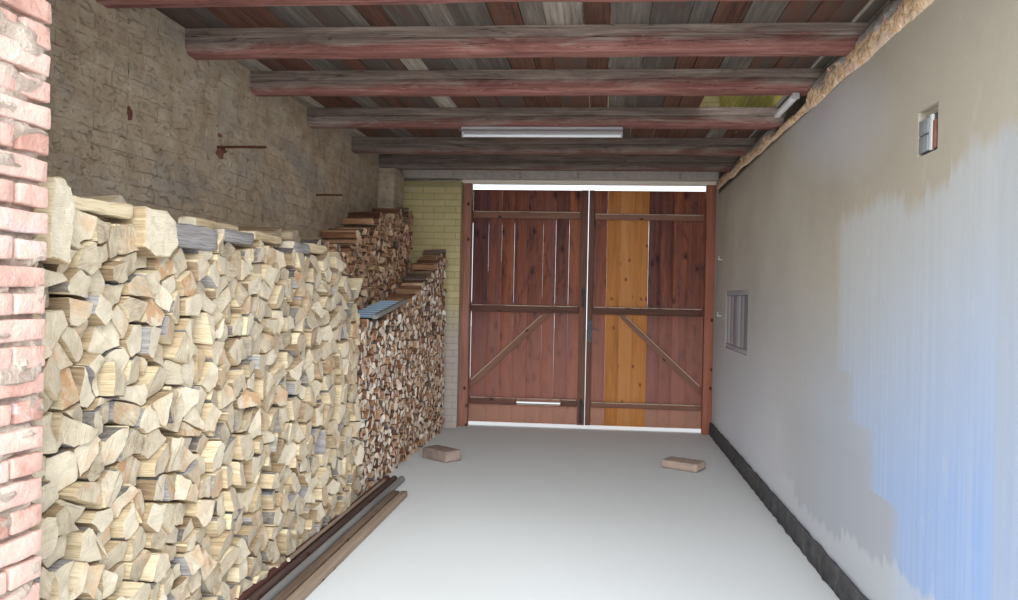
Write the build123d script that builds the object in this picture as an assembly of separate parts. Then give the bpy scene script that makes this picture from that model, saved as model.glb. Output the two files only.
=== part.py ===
from build123d import *
import math
import os

# Log store: a covered passage between a limewashed boundary wall and a rendered
# house wall, open at the front, with a pair of ledged and braced doors at the back.
# Millimetres. X runs across the passage, Y from the open front to the doors, Z up.
# The origin is on the ground at the centre of the plan.

# Passage and masonry
passage_width = 3640
wall_thickness = 380
wall_length = 7465
back_wall_thickness = 250
pier_width = 773
pier_depth = 380
pilaster_width = 173
pilaster_depth = 380
pilaster_from_back = 1215
plinth_height = 160
plinth_projection = 28

# Ceiling beams and deck
beam_underside = 2860
beam_height = 140
beam_width = 150
beam_bearing = 200
beam_arris = 38
beam_shares = [0.115, 0.221, 0.328, 0.437, 0.570, 0.719, 0.837]
chase_depth = 90
chase_drop = 130
front_lintel_from_front = 70
front_lintel_width = 240
deck_thickness = 25
deck_hole_width = 580

# Lean-to roof over the loft
eaves_above_deck = 275
roof_pitch = 16.5
rafter_height = 120
rafter_width = 80
rafter_count = 9
purlin_height = 50
purlin_width = 70
purlin_count = 5
wave_pitch = 177
wave_height = 51
wave_steps = 8
sheet_thickness = 7
roof_overhang = 110

# Doorway and door leaves
post_left_width = 97
post_right_width = 103
post_depth = 120
back_wall_left_width = 703
lintel_underside = 2870
lintel_depth = 130
bar_height = 95
bar_wall = 8
leaf_bottom = 45
leaf_height = 2767
leaf_lap = 40
leaf_gap = 6
leaf_left_width = 1419
meeting_gap = 8
board_thickness = 28
board_gap = 4
ledge_depth = 40
left_ledges = [(261, 85), (1360, 84), (2470, 84)]
right_ledges = [(262, 64), (1355, 88), (2466, 71)]
ledge_end_gap = 12
ledge_to_stile = 6
brace_depth = 35
brace_foot = (420, 540)
brace_head_left = (403, 508)
brace_head_right = (356, 438)
stile_width = 85
right_stile_width = 63
stile_thickness = 30
left_boards = [(41, 10), (186, 4), (155, 4), (148, 4), (162, 3), (174, 4), (146, 5), (153, 4), (217, 0)]
right_boards = [(217, 3), (157, 2), (153, 3), (167, 6), (143, 2), (142, 3), (169, 2), (222, 0)]
slot_from_edge = 610
slot_length = 525
slot_height = 26
slot_level = 289

# Strap hinges and locks
strap_length = 700
strap_height = 50
strap_thickness = 6
eye_radius = 14
eye_to_leaf = 2
pin_radius = 8
pin_clearance = 0.3
pin_above_eye = 12
hinge_levels = [300, 2420]
bracket_height = 20
bracket_gap = 2
lock_width = 58
lock_height = 250
lock_depth = 22
lock_level = 1030
lock_from_edge = 4
lever_share = 0.72
lever_radius = 7
spindle_radius = 9
spindle_length = 40
lever_length = 125
lever_drop = 22
bolt_radius = 8
drop_bolt_length = 260
upper_bolt_length = 200
bolt_below_plate = 10
bolt_above_plate = 20
bolt_above_foot = 30
bolt_plate = 4
bolt_plate_width = 44
bolt_sink = 1

# Fittings of the walls and ceiling
hatch_length = 1250
hatch_height = 580
hatch_sill = 1060
hatch_from_front = 5222
hatch_recess = 60
hatch_frame = 45
hatch_frame_depth = 20
hatch_door_thickness = 25
hatch_door_gap = 3
outlet_length = 190
outlet_height = 185
outlet_sill = 2130
outlet_from_front = 1368
outlet_recess = 30
outlet_inset = 4
outlet_side_gap = 8
outlet_near_gap = 40
outlet_top_gap = 30
fitting_length = 1260
fitting_width = 60
fitting_height = 42
reflector_height = 22
reflector_flare = 32
fitting_from_centre = 47
fitting_back_gap = 38
tube_radius = 13
tube_drop = 8
holder_length = 18
lamp_length = 530
lamp_width = 42
lamp_height = 36
lamp_rounding = 14
lamp_cap = 24
cap_rim = 2
lamp_from_wall = 80
lamp_behind_edge = 38
rod_radius = 8
rods = [(2841, 2411, 310), (4496, 2340, 220)]
hook_levels = [1380, 1981]
hook_from_back = 715
hook_radius = 5
hook_reach = 45
hook_tip = 40

# Firewood, in two rows of split billets against the left wall
billet_length = 330
near_stack_start = 425
near_stack_length = 3345
near_front_height = 1860
near_front_profile = [(0, 1850), (230, 1815), (1050, 1775), (1500, 1800), (2000, 1825), (3110, 1800),
                      (3110, 1668), (3345, 1660)]
near_back_profile = [(0, 1905), (800, 1905), (1700, 1890), (2330, 1940), (2860, 1930), (3345, 1940)]
stack_lean = 50
far_front_set_back = 60
far_rows_end_gap = 195
far_front_profile = [(0, 1300), (480, 1335), (1550, 1475), (2250, 1655), (3200, 2080), (3250, 2080)]
far_back_profile = [(0, 1900), (700, 1930), (1000, 2080), (1300, 2100), (1350, 2240), (2740, 2480)]

# Blue corrugated sheet and its edge batten, on the far stack
blue_sheet_length = 980
blue_sheet_width = 225
blue_sheet_thickness = 14
blue_batten = 34

# Poles and battens on the ground, and two loose bricks
pole_radius = 27
pole_pitch = 62
pole_length = 2650
pole_start = 1870
thin_pole_radius = 14
thin_pole_length = 1900
thin_pole_set_back = 560
batten_from_poles = 20
batten_space = 14
batten_width = 50
batten_height = 45
batten_length = 2620
batten_start = 1450
left_brick = (345, 190, 105)
left_brick_from_wall = 895
left_brick_turn = -38
right_brick = (350, 215, 78)
right_brick_from_wall = 505
right_brick_turn = -29
bricks_from_back = 2000

seat = 0.3

half_width = passage_width / 2
outer = half_width + wall_thickness
front = -wall_length / 2
back = wall_length / 2
beam_top = beam_underside + beam_height
deck_top = beam_top + deck_thickness
eaves_height = deck_top + eaves_above_deck
slope = math.tan(math.radians(roof_pitch))

os.makedirs("parts", exist_ok=True)


def block(x0, x1, y0, y1, z0, z1):
    """A box between two corners."""
    return Pos(x0, y0, z0) * Box(x1 - x0, y1 - y0, z1 - z0, align=(Align.MIN, Align.MIN, Align.MIN))


def round_bar(place, radius, length):
    """A round bar that starts at a place and runs along its Z."""
    return place * Cylinder(radius, length, align=(Align.CENTER, Align.CENTER, Align.MIN))


def wall_top(x):
    """Height of the masonry under the rafters, at a place across the building."""
    return eaves_height + (x + outer) * slope


def across(points, y0, y1):
    """A profile drawn in X and Z, run along Y from y0 to y1."""
    face = Plane.XZ * make_face(Polyline(*points, close=True))
    return Pos(0, y0, 0) * extrude(face, -(y1 - y0))


def along(points, x0, x1):
    """A profile drawn in Y and Z, run along X from x0 to x1."""
    face = Plane.YZ * make_face(Polyline(*points, close=True))
    return Pos(x0, 0, 0) * extrude(face, x1 - x0)


def save(name, *solids):
    """Writes one node from its solids."""
    export_step(Compound(label=name, children=list(solids)), f"parts/{name}.step")


def beam_places():
    """Front edge of each ceiling beam, with its width."""
    places = [(front + front_lintel_from_front, front_lintel_width)]
    for share in beam_shares:
        places.append((front + share * wall_length, beam_width))
    return places


def beam(y, width):
    """One beam across the passage, with rounded lower edges."""
    reach = half_width + beam_bearing - seat
    solid = block(-reach, reach, y, y + width, beam_underside, beam_top)
    lower = solid.edges().filter_by(Axis.X).group_by(Axis.Z)[0]
    return fillet(lower, beam_arris)


def beam_pockets(x0, x1):
    """The holes in a wall that the beam ends lie in."""
    pockets = []
    for y, width in beam_places():
        pockets.append(block(x0, x1, y - seat, y + width + seat, beam_underside, beam_top + seat))
    return pockets


def side_wall(inner, outside):
    """A wall along the passage, sloped on top under the rafters."""
    x0 = min(inner, outside)
    x1 = max(inner, outside)
    profile = [(x0, 0), (x1, 0), (x1, wall_top(x1)), (x0, wall_top(x0))]
    wall = across(profile, front, back)
    into = beam_bearing if outside > inner else -beam_bearing
    for pocket in beam_pockets(min(inner, inner + into), max(inner, inner + into)):
        wall -= pocket
    return wall


# Side walls, pier, pilaster and plinth
left_wall = side_wall(-half_width, -outer)
save("left_wall", left_wall)

hatch_y = front + hatch_from_front
outlet_y = front + outlet_from_front
right_wall = side_wall(half_width, outer)
chase = [(half_width, beam_underside - chase_drop), (half_width + chase_depth, beam_top),
         (half_width, beam_top)]
right_wall -= across(chase, front, back - back_wall_thickness)
right_wall -= block(half_width, half_width + hatch_recess, hatch_y, hatch_y + hatch_length,
                    hatch_sill, hatch_sill + hatch_height)
right_wall -= block(half_width, half_width + outlet_recess, outlet_y, outlet_y + outlet_length,
                    outlet_sill, outlet_sill + outlet_height)
save("right_wall", right_wall)

pier_x = pier_width - half_width
save("front_pier", block(-half_width, pier_x, front, front + pier_depth, 0, beam_underside))
pilaster_y = back - pilaster_from_back
save("left_pilaster", block(-half_width, pilaster_width - half_width, pilaster_y,
                            pilaster_y + pilaster_depth, 0, beam_underside))

doorway_left = -half_width + back_wall_left_width
opening_left = doorway_left + post_left_width
opening_right = half_width - post_right_width
plinth_x = half_width - plinth_projection
save("right_plinth", block(plinth_x, half_width, front, back - post_depth, 0, plinth_height))

# Back wall beside and over the doorway
deck_end = back - back_wall_thickness
save("back_wall_left", block(-half_width, doorway_left, deck_end, back, 0, lintel_underside))
upper_profile = [(-half_width, beam_top), (half_width, beam_top),
                 (half_width, wall_top(half_width)), (-half_width, wall_top(-half_width))]
save("back_wall_upper", across(upper_profile, deck_end, back))
save("door_lintel", block(-half_width, half_width, back - lintel_depth, back, lintel_underside, beam_top))

bar_y0 = deck_end
bar_y1 = back - lintel_depth
bar_z0 = beam_top - bar_height
bar_profile = [(bar_y0, bar_z0), (bar_y1, bar_z0), (bar_y1, bar_z0 + bar_wall),
               (bar_y0 + bar_wall, bar_z0 + bar_wall), (bar_y0 + bar_wall, beam_top - bar_wall),
               (bar_y1, beam_top - bar_wall), (bar_y1, beam_top), (bar_y0, beam_top)]
save("lintel_bar", along(bar_profile, -half_width, half_width))

save("door_post_left", block(doorway_left, opening_left, back - post_depth, back, 0, lintel_underside))
save("door_post_right", block(opening_right, half_width, back - post_depth, back, 0, lintel_underside))

# Ceiling beams and the deck of the loft
places = beam_places()
save("front_lintel", beam(*places[0]))
save("ceiling_beams", *[beam(y, width) for y, width in places[1:]])

hole_y0 = places[4][0] + beam_width
hole_y1 = places[5][0] + beam_width / 2
hole_x = half_width - deck_hole_width
save("loft_deck", block(-half_width, hole_x, front, deck_end, beam_top, deck_top),
     block(hole_x + board_gap, half_width, front, hole_y0, beam_top, deck_top),
     block(hole_x + board_gap, half_width, hole_y1, deck_end, beam_top, deck_top))

# Roof: rafters on the walls, purlins on the rafters, sheets on the purlins
roof_edge = outer + roof_overhang


def roof_layer(rise, thickness, y0, y1, reach=roof_edge):
    """A sloping slab of the roof, a given rise above the masonry."""
    low = wall_top(-reach) + rise
    high = wall_top(reach) + rise
    return across([(-reach, low), (reach, high),
                   (reach, high + thickness), (-reach, low + thickness)], y0, y1)


rafter_rise = rafter_height / math.cos(math.radians(roof_pitch))
rafter_step = (wall_length - rafter_width) / (rafter_count - 1)
rafters = []
for index in range(rafter_count):
    y = front + index * rafter_step
    rafters.append(roof_layer(0, rafter_rise, y, y + rafter_width, outer + roof_overhang / 2))
save("roof_rafters", *rafters)

purlin_rise = purlin_height / math.cos(math.radians(roof_pitch))
purlin_step = (2 * outer - purlin_width) / (purlin_count - 1)
purlins = []
for index in range(purlin_count):
    x = -outer + index * purlin_step
    low = wall_top(x) + rafter_rise
    high = wall_top(x + purlin_width) + rafter_rise
    profile = [(x, low), (x + purlin_width, high),
               (x + purlin_width, high + purlin_rise), (x, low + purlin_rise)]
    purlins.append(across(profile, front - roof_overhang / 2, back + roof_overhang / 2))
save("roof_purlins", *purlins)
sheet_low = wall_top(-roof_edge) + rafter_rise + purlin_rise + seat
sheet_y = front - roof_overhang
sheet_length = wall_length + 2 * roof_overhang
wave_count = round(sheet_length / wave_pitch)


def wave_line(z):
    """The line of the waves from the front edge to the back edge, with its middle at a height."""
    points = []
    for step in range(wave_count * wave_steps + 1):
        turn = 2 * math.pi * step / wave_steps
        y = sheet_y + sheet_length * step / (wave_count * wave_steps)
        points.append((y, z - wave_height / 2 * math.cos(turn)))
    return points


under = sheet_low + wave_height / 2
outline = wave_line(under) + wave_line(under + sheet_thickness)[::-1]
sheet_face = Plane.YZ * make_face(Polyline(*outline, close=True))
run = 2 * roof_edge / math.cos(math.radians(roof_pitch))
sheets = extrude(sheet_face, run, dir=(2 * roof_edge, 0, 2 * roof_edge * slope))
save("roof_sheets", Pos(-roof_edge, 0, 0) * sheets)

# Door leaves, hung outside the posts and swinging outwards
leaf_face = back + leaf_gap
leaf_back = leaf_face + board_thickness
leaf_top = leaf_bottom + leaf_height
left_edge = opening_left - leaf_lap
left_free = left_edge + leaf_left_width
right_free = left_free + meeting_gap
right_edge = opening_right + leaf_lap
left_pivot = left_edge - eye_radius - eye_to_leaf
right_pivot = right_edge + eye_radius + eye_to_leaf
pivot_y = leaf_back + eye_radius


def leaf_boards(start, end, widths):
    """Upright boards of given widths, each with the gap after it, scaled to fill the leaf."""
    share = (end - start) / sum(width + gap for width, gap in widths)
    boards = []
    x = start
    for width, gap in widths:
        boards.append(block(x, x + width * share, leaf_face, leaf_back, leaf_bottom, leaf_top))
        x += (width + gap) * share
    return boards


def ledges(x0, x1, levels):
    """Level rails on the inner face of the boards, each with its lower edge and height."""
    rails = []
    for level, height in levels:
        rails.append(block(x0, x1, leaf_face - ledge_depth, leaf_face, level, level + height))
    return rails


def brace(foot_x, head, levels):
    """The slanting brace from the hinge side, cut upright there and level under the middle rail."""
    top = levels[1][0] - seat
    near, far = head
    return across([(foot_x, brace_foot[0]), (foot_x, brace_foot[1]), (near, top), (far, top)],
                  leaf_face - brace_depth, leaf_face)


def strap(pivot, inward):
    """A strap hinge with a rolled eye round the pin."""
    straps = []
    for level in hinge_levels:
        x_end = pivot + inward * strap_length
        plate_y = leaf_back + seat
        plate = block(min(pivot, x_end), max(pivot, x_end), plate_y, plate_y + strap_thickness,
                      level, level + strap_height)
        eye = round_bar(Pos(pivot, pivot_y, level), eye_radius, strap_height)
        bore = round_bar(Pos(pivot, pivot_y, level), pin_radius + pin_clearance, strap_height)
        straps.append(plate + eye - bore)
    return straps


def hinge_pin(pivot):
    """A pin on a bracket that is driven into the post."""
    pins = []
    for level in hinge_levels:
        z0 = level - bracket_height - bracket_gap
        bracket = block(pivot - pin_radius, pivot + pin_radius, back, pivot_y, z0, z0 + bracket_height)
        pin_height = bracket_height + strap_height + pin_above_eye
        pin = round_bar(Pos(pivot, pivot_y, z0), pin_radius, pin_height)
        pins.append(bracket + pin)
    return pins


def upright_bolt(x, level, length):
    """A sliding bolt on its back plate, on the inner face of the stile."""
    face = leaf_face - stile_thickness
    half = bolt_plate_width / 2
    plate = block(x - half, x + half, face - bolt_plate, face, level, level + length)
    place = Pos(x, face - bolt_plate - bolt_radius + bolt_sink, level - bolt_below_plate)
    return plate + round_bar(place, bolt_radius, length + bolt_below_plate + bolt_above_plate)


ledge_left_start = opening_left + ledge_end_gap
ledge_left_end = left_free - stile_width - ledge_to_stile
slot_x = left_edge + slot_from_edge
slot_shape = Plane.XZ * (Pos(slot_x + slot_length / 2, slot_level) * SlotOverall(slot_length, slot_height))
slot = Pos(0, leaf_back, 0) * extrude(slot_shape, board_thickness + ledge_depth)
save("left_leaf_boards", *[board - slot for board in leaf_boards(left_edge, left_free, left_boards)])
rails = ledges(ledge_left_start, ledge_left_end, left_ledges)
save("left_leaf_ledges", rails[0] - slot, *rails[1:])
brace_left_head = (left_free - brace_head_left[1], left_free - brace_head_left[0])
save("left_leaf_brace", brace(ledge_left_start, brace_left_head, left_ledges))
stile_face = leaf_face - stile_thickness
save("left_leaf_stile", block(left_free - stile_width, left_free, stile_face, leaf_face,
                              leaf_bottom, leaf_top))
save("left_leaf_hinges", *strap(left_pivot, 1))
bolt_x = left_free - stile_width / 2
middle_top = left_ledges[1][0] + left_ledges[1][1]
save("left_leaf_bolts", upright_bolt(bolt_x, leaf_bottom + bolt_above_foot, drop_bolt_length),
     upright_bolt(bolt_x, middle_top, upper_bolt_length))

right_stile = block(right_free, right_free + right_stile_width, stile_face, leaf_face,
                    leaf_bottom, leaf_top)
ledge_right_start = right_free + right_stile_width + ledge_to_stile
ledge_right_end = opening_right - ledge_end_gap
save("right_leaf_boards", *leaf_boards(right_free, right_edge, right_boards))
save("right_leaf_ledges", *ledges(ledge_right_start, ledge_right_end, right_ledges), right_stile)
brace_right_head = (right_free + brace_head_right[1], right_free + brace_head_right[0])
save("right_leaf_brace", brace(ledge_right_end, brace_right_head, right_ledges))
save("right_leaf_hinges", *strap(right_pivot, -1))
lock_x = right_free + lock_from_edge
lock_plate = block(lock_x, lock_x + lock_width, stile_face - lock_depth, stile_face,
                   lock_level, lock_level + lock_height)
lever_z = lock_level + lock_height * lever_share
spindle_x = lock_x + lock_width / 2
spindle_y = stile_face - lock_depth
spindle = round_bar(Pos(spindle_x, spindle_y, lever_z) * Rot(X=90), spindle_radius, spindle_length)
lever_y = spindle_y - spindle_length + spindle_radius + lock_from_edge / 2
lever_place = Pos(spindle_x, lever_y, lever_z) * Rot(Y=90 + lever_drop)
lever = round_bar(lever_place, lever_radius, lever_length)
save("right_leaf_lock", lock_plate + spindle + lever)

save("left_hinge_pins", *hinge_pin(left_pivot))
save("right_hinge_pins", *hinge_pin(right_pivot))

# Hatch, outlet box and hooks in the right wall
hatch_x = half_width + hatch_recess
hatch_top = hatch_sill + hatch_height
outer_frame = block(hatch_x - hatch_frame_depth, hatch_x, hatch_y, hatch_y + hatch_length,
                    hatch_sill, hatch_top)
frame_hole = block(hatch_x - hatch_frame_depth, hatch_x, hatch_y + hatch_frame,
                   hatch_y + hatch_length - hatch_frame, hatch_sill + hatch_frame, hatch_top - hatch_frame)
save("hatch_frame", outer_frame - frame_hole)
door_inset = hatch_frame + hatch_door_gap
save("hatch_door", block(hatch_x - hatch_door_thickness, hatch_x,
                         hatch_y + door_inset, hatch_y + hatch_length - door_inset,
                         hatch_sill + door_inset, hatch_top - door_inset))

outlet_x = half_width + outlet_recess
save("wall_outlet", block(half_width + outlet_inset, outlet_x,
                          outlet_y + outlet_near_gap, outlet_y + outlet_length - outlet_side_gap,
                          outlet_sill + outlet_side_gap, outlet_sill + outlet_height - outlet_top_gap))

hook_y = back - hook_from_back
hooks = []
for level in hook_levels:
    stem = round_bar(Pos(half_width, hook_y, level) * Rot(Y=-90), hook_radius, hook_reach)
    tip = round_bar(Pos(half_width - hook_reach + hook_radius, hook_y, level), hook_radius, hook_tip)
    hooks.append(stem + tip)
save("wall_hooks", *hooks)

iron_rods = []
for distance, level, reach in rods:
    iron_rods.append(round_bar(Pos(-half_width, front + distance, level) * Rot(Y=90), rod_radius, reach))
save("iron_rods", *iron_rods)

# Strip light under a beam: a tray with flared sides, a tube below it and a holder at each end
tray_y0 = places[5][0] + fitting_back_gap
tray_y1 = tray_y0 + fitting_width
tray_top = beam_underside - fitting_height + reflector_height
tray_low = beam_underside - fitting_height
tray_profile = [(tray_y0, beam_underside), (tray_y1, beam_underside), (tray_y1, tray_top),
                (tray_y1 + reflector_flare, tray_low), (tray_y0 - reflector_flare, tray_low),
                (tray_y0, tray_top)]
tray_x0 = fitting_from_centre - fitting_length / 2
tray_x1 = fitting_from_centre + fitting_length / 2
tube_y = (tray_y0 + tray_y1) / 2
tube_z = tray_low - tube_drop - tube_radius
tray = along(tray_profile, tray_x0, tray_x1)
tube = round_bar(Pos(tray_x0, tube_y, tube_z) * Rot(Y=90), tube_radius, fitting_length)
holder_low = tube_z - tube_radius
holder_0 = block(tray_x0, tray_x0 + holder_length, tube_y - tube_radius, tube_y + tube_radius,
                 holder_low, tray_low)
holder_1 = Pos(fitting_length - holder_length, 0, 0) * holder_0
save("strip_light", tray + holder_0 + holder_1 + tube)

# Slim lamp by the right wall: a body with rounded lower edges and a cap at each end
lamp_x = half_width - lamp_from_wall
lamp_y = places[4][0] + lamp_behind_edge
lamp_low = beam_underside - lamp_height
lamp_body = block(lamp_x - lamp_width / 2, lamp_x + lamp_width / 2, lamp_y, lamp_y + lamp_length,
                  lamp_low, beam_underside)
lamp_body = fillet(lamp_body.edges().filter_by(Axis.Y).group_by(Axis.Z)[0], lamp_rounding)
lamp_cap_0 = block(lamp_x - lamp_width / 2 - cap_rim, lamp_x + lamp_width / 2 + cap_rim,
                   lamp_y, lamp_y + lamp_cap, lamp_low - cap_rim, beam_underside)
lamp_cap_1 = Pos(0, lamp_length - lamp_cap, 0) * lamp_cap_0
save("tube_light", lamp_body + lamp_cap_0 + lamp_cap_1)

# Firewood stacks
stack_x = -half_width + seat
near_y0 = front + near_stack_start
near_y1 = near_y0 + near_stack_length
row_split = stack_x + billet_length
front_reach = row_split + seat + billet_length
far_y0 = near_y1 + seat
far_face = front_reach - far_front_set_back
far_room = deck_end - far_rows_end_gap - far_y0
far_share = far_room / far_front_profile[-1][0]


def stepped_row(points, y0, x0, x1, share=1):
    """A row of billets with a stepped top, drawn from its near end."""
    outline = [(y0, 0)]
    outline += [(y0 + distance * share, height) for distance, height in points]
    outline.append((y0 + points[-1][0] * share, 0))
    return along(outline, x0, x1)


save("near_back_row", stepped_row(near_back_profile, near_y0, stack_x, row_split))
leaning_face = across([(row_split + seat, 0), (front_reach - stack_lean, 0),
                       (front_reach, near_front_height), (row_split + seat, near_front_height)],
                      near_y0, near_y1)
save("near_front_row", leaning_face & stepped_row(near_front_profile, near_y0, row_split, front_reach))

around_pilaster = block(-half_width, pilaster_width - half_width + seat, pilaster_y - seat,
                        pilaster_y + pilaster_depth, 0, beam_underside)
far_back_row = stepped_row(far_back_profile, far_y0, stack_x, row_split, far_share)
save("far_back_row", far_back_row - around_pilaster)
save("far_front_row", stepped_row(far_front_profile, far_y0, row_split + seat, far_face, far_share))

# Blue sheet on the near end of the far stack
(sheet_d0, sheet_z0), (sheet_d1, sheet_z1) = far_front_profile[1:3]
blue_rise = (sheet_z1 - sheet_z0) / (sheet_d1 - sheet_d0) / far_share
sheet_y0 = far_y0 + sheet_d0 * far_share
sheet_y1 = sheet_y0 + blue_sheet_length
sheet_top = sheet_z0 + blue_rise * blue_sheet_length
sheet_x1 = far_face - blue_batten
save("blue_sheet", along([(sheet_y0, sheet_z0 + seat), (sheet_y1, sheet_top + seat),
                          (sheet_y1, sheet_top + seat + blue_sheet_thickness),
                          (sheet_y0, sheet_z0 + seat + blue_sheet_thickness)],
                         sheet_x1 - blue_sheet_width, sheet_x1 - seat))
save("blue_sheet_batten", along([(sheet_y0, sheet_z0 + seat), (sheet_y1, sheet_top + seat),
                                 (sheet_y1, sheet_top + seat + blue_batten),
                                 (sheet_y0, sheet_z0 + seat + blue_batten)],
                                sheet_x1, sheet_x1 + blue_batten))

# Poles and battens along the foot of the stack
pole_gap = seat + stack_lean * 2 * pole_radius / near_front_height
pole_x = front_reach - stack_lean + pole_radius + pole_gap
poles = []
for index in range(3):
    place = Pos(pole_x + index * pole_pitch, front + pole_start, pole_radius) * Rot(X=-90)
    poles.append(round_bar(place, pole_radius, pole_length))
reach = pole_radius + thin_pole_radius + seat
thin_z = pole_radius + math.sqrt(reach ** 2 - (pole_pitch / 2) ** 2)
thin_y = front + pole_start + thin_pole_set_back
thin_place = Pos(pole_x + pole_pitch / 2, thin_y, thin_z) * Rot(X=-90)
poles.append(round_bar(thin_place, thin_pole_radius, thin_pole_length))
save("poles", *poles)

first_batten_x = pole_x + 2 * pole_pitch + pole_radius + batten_from_poles
batten_y = front + batten_start
battens = []
for index in range(2):
    x = first_batten_x + index * (batten_width + batten_space)
    battens.append(block(x, x + batten_width, batten_y, batten_y + batten_length, 0, batten_height))
save("battens", *battens)

# Two large loose bricks on the ground in front of the doors


def loose_brick(x, size, turn):
    """One brick flat on the ground, at a place across the passage."""
    length, width, height = size
    lying = Box(length, width, height, align=(Align.CENTER, Align.CENTER, Align.MIN))
    return Pos(x, back - bricks_from_back, 0) * Rot(Z=turn) * lying


save("floor_bricks", loose_brick(left_brick_from_wall - half_width, left_brick, left_brick_turn),
     loose_brick(half_width - right_brick_from_wall, right_brick, right_brick_turn))
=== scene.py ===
import math
import random

import bmesh
import bpy
from mathutils import Matrix, Vector, noise


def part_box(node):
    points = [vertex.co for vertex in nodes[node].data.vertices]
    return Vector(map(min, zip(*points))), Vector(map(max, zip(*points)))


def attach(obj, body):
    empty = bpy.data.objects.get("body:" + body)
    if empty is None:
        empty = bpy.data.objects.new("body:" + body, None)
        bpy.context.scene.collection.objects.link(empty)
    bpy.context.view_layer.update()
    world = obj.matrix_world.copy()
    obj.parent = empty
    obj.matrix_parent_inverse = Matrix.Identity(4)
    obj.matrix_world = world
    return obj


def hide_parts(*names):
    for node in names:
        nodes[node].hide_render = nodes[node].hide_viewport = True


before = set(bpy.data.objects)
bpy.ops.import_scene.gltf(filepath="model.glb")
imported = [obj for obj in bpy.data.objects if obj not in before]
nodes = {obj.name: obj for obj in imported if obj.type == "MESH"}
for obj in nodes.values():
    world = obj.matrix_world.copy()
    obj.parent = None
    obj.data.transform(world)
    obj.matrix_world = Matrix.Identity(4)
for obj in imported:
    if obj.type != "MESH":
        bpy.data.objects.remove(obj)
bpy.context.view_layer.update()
# Without a seed of its own noise_vector follows the time, and each run gives other shapes
noise.seed_set(7)

# Painted shade on the faces that look out at the yard: where it starts and where it is full, along y
front_shade_span = (-3.722, -3.731)
front_brick_shade_span = (-3.672, -3.705)
looks = {}


# Materials
class Value:
    """A node's output. Sums, products and powers of it are nodes of their own."""

    def __init__(self, look, socket):
        self.look = look
        self.socket = socket

    def __add__(self, other):
        return self.look.math("ADD", self, other)

    def __sub__(self, other):
        return self.look.math("SUBTRACT", self, other)

    def __rsub__(self, other):
        return self.look.math("SUBTRACT", other, self)

    def __mul__(self, other):
        return self.look.math("MULTIPLY", self, other)

    def __truediv__(self, other):
        return self.look.math("DIVIDE", self, other)

    def __pow__(self, other):
        return self.look.math("POWER", self, other)

    def span(self, low, high, to_low=0.0, to_high=1.0):
        """Goes from to_low to to_high while the value goes from low to high."""
        fed = {"Value": self, "From Min": low, "From Max": high, "To Min": to_low, "To Max": to_high}
        return self.look.node("MapRange", 0, fed)


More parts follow.
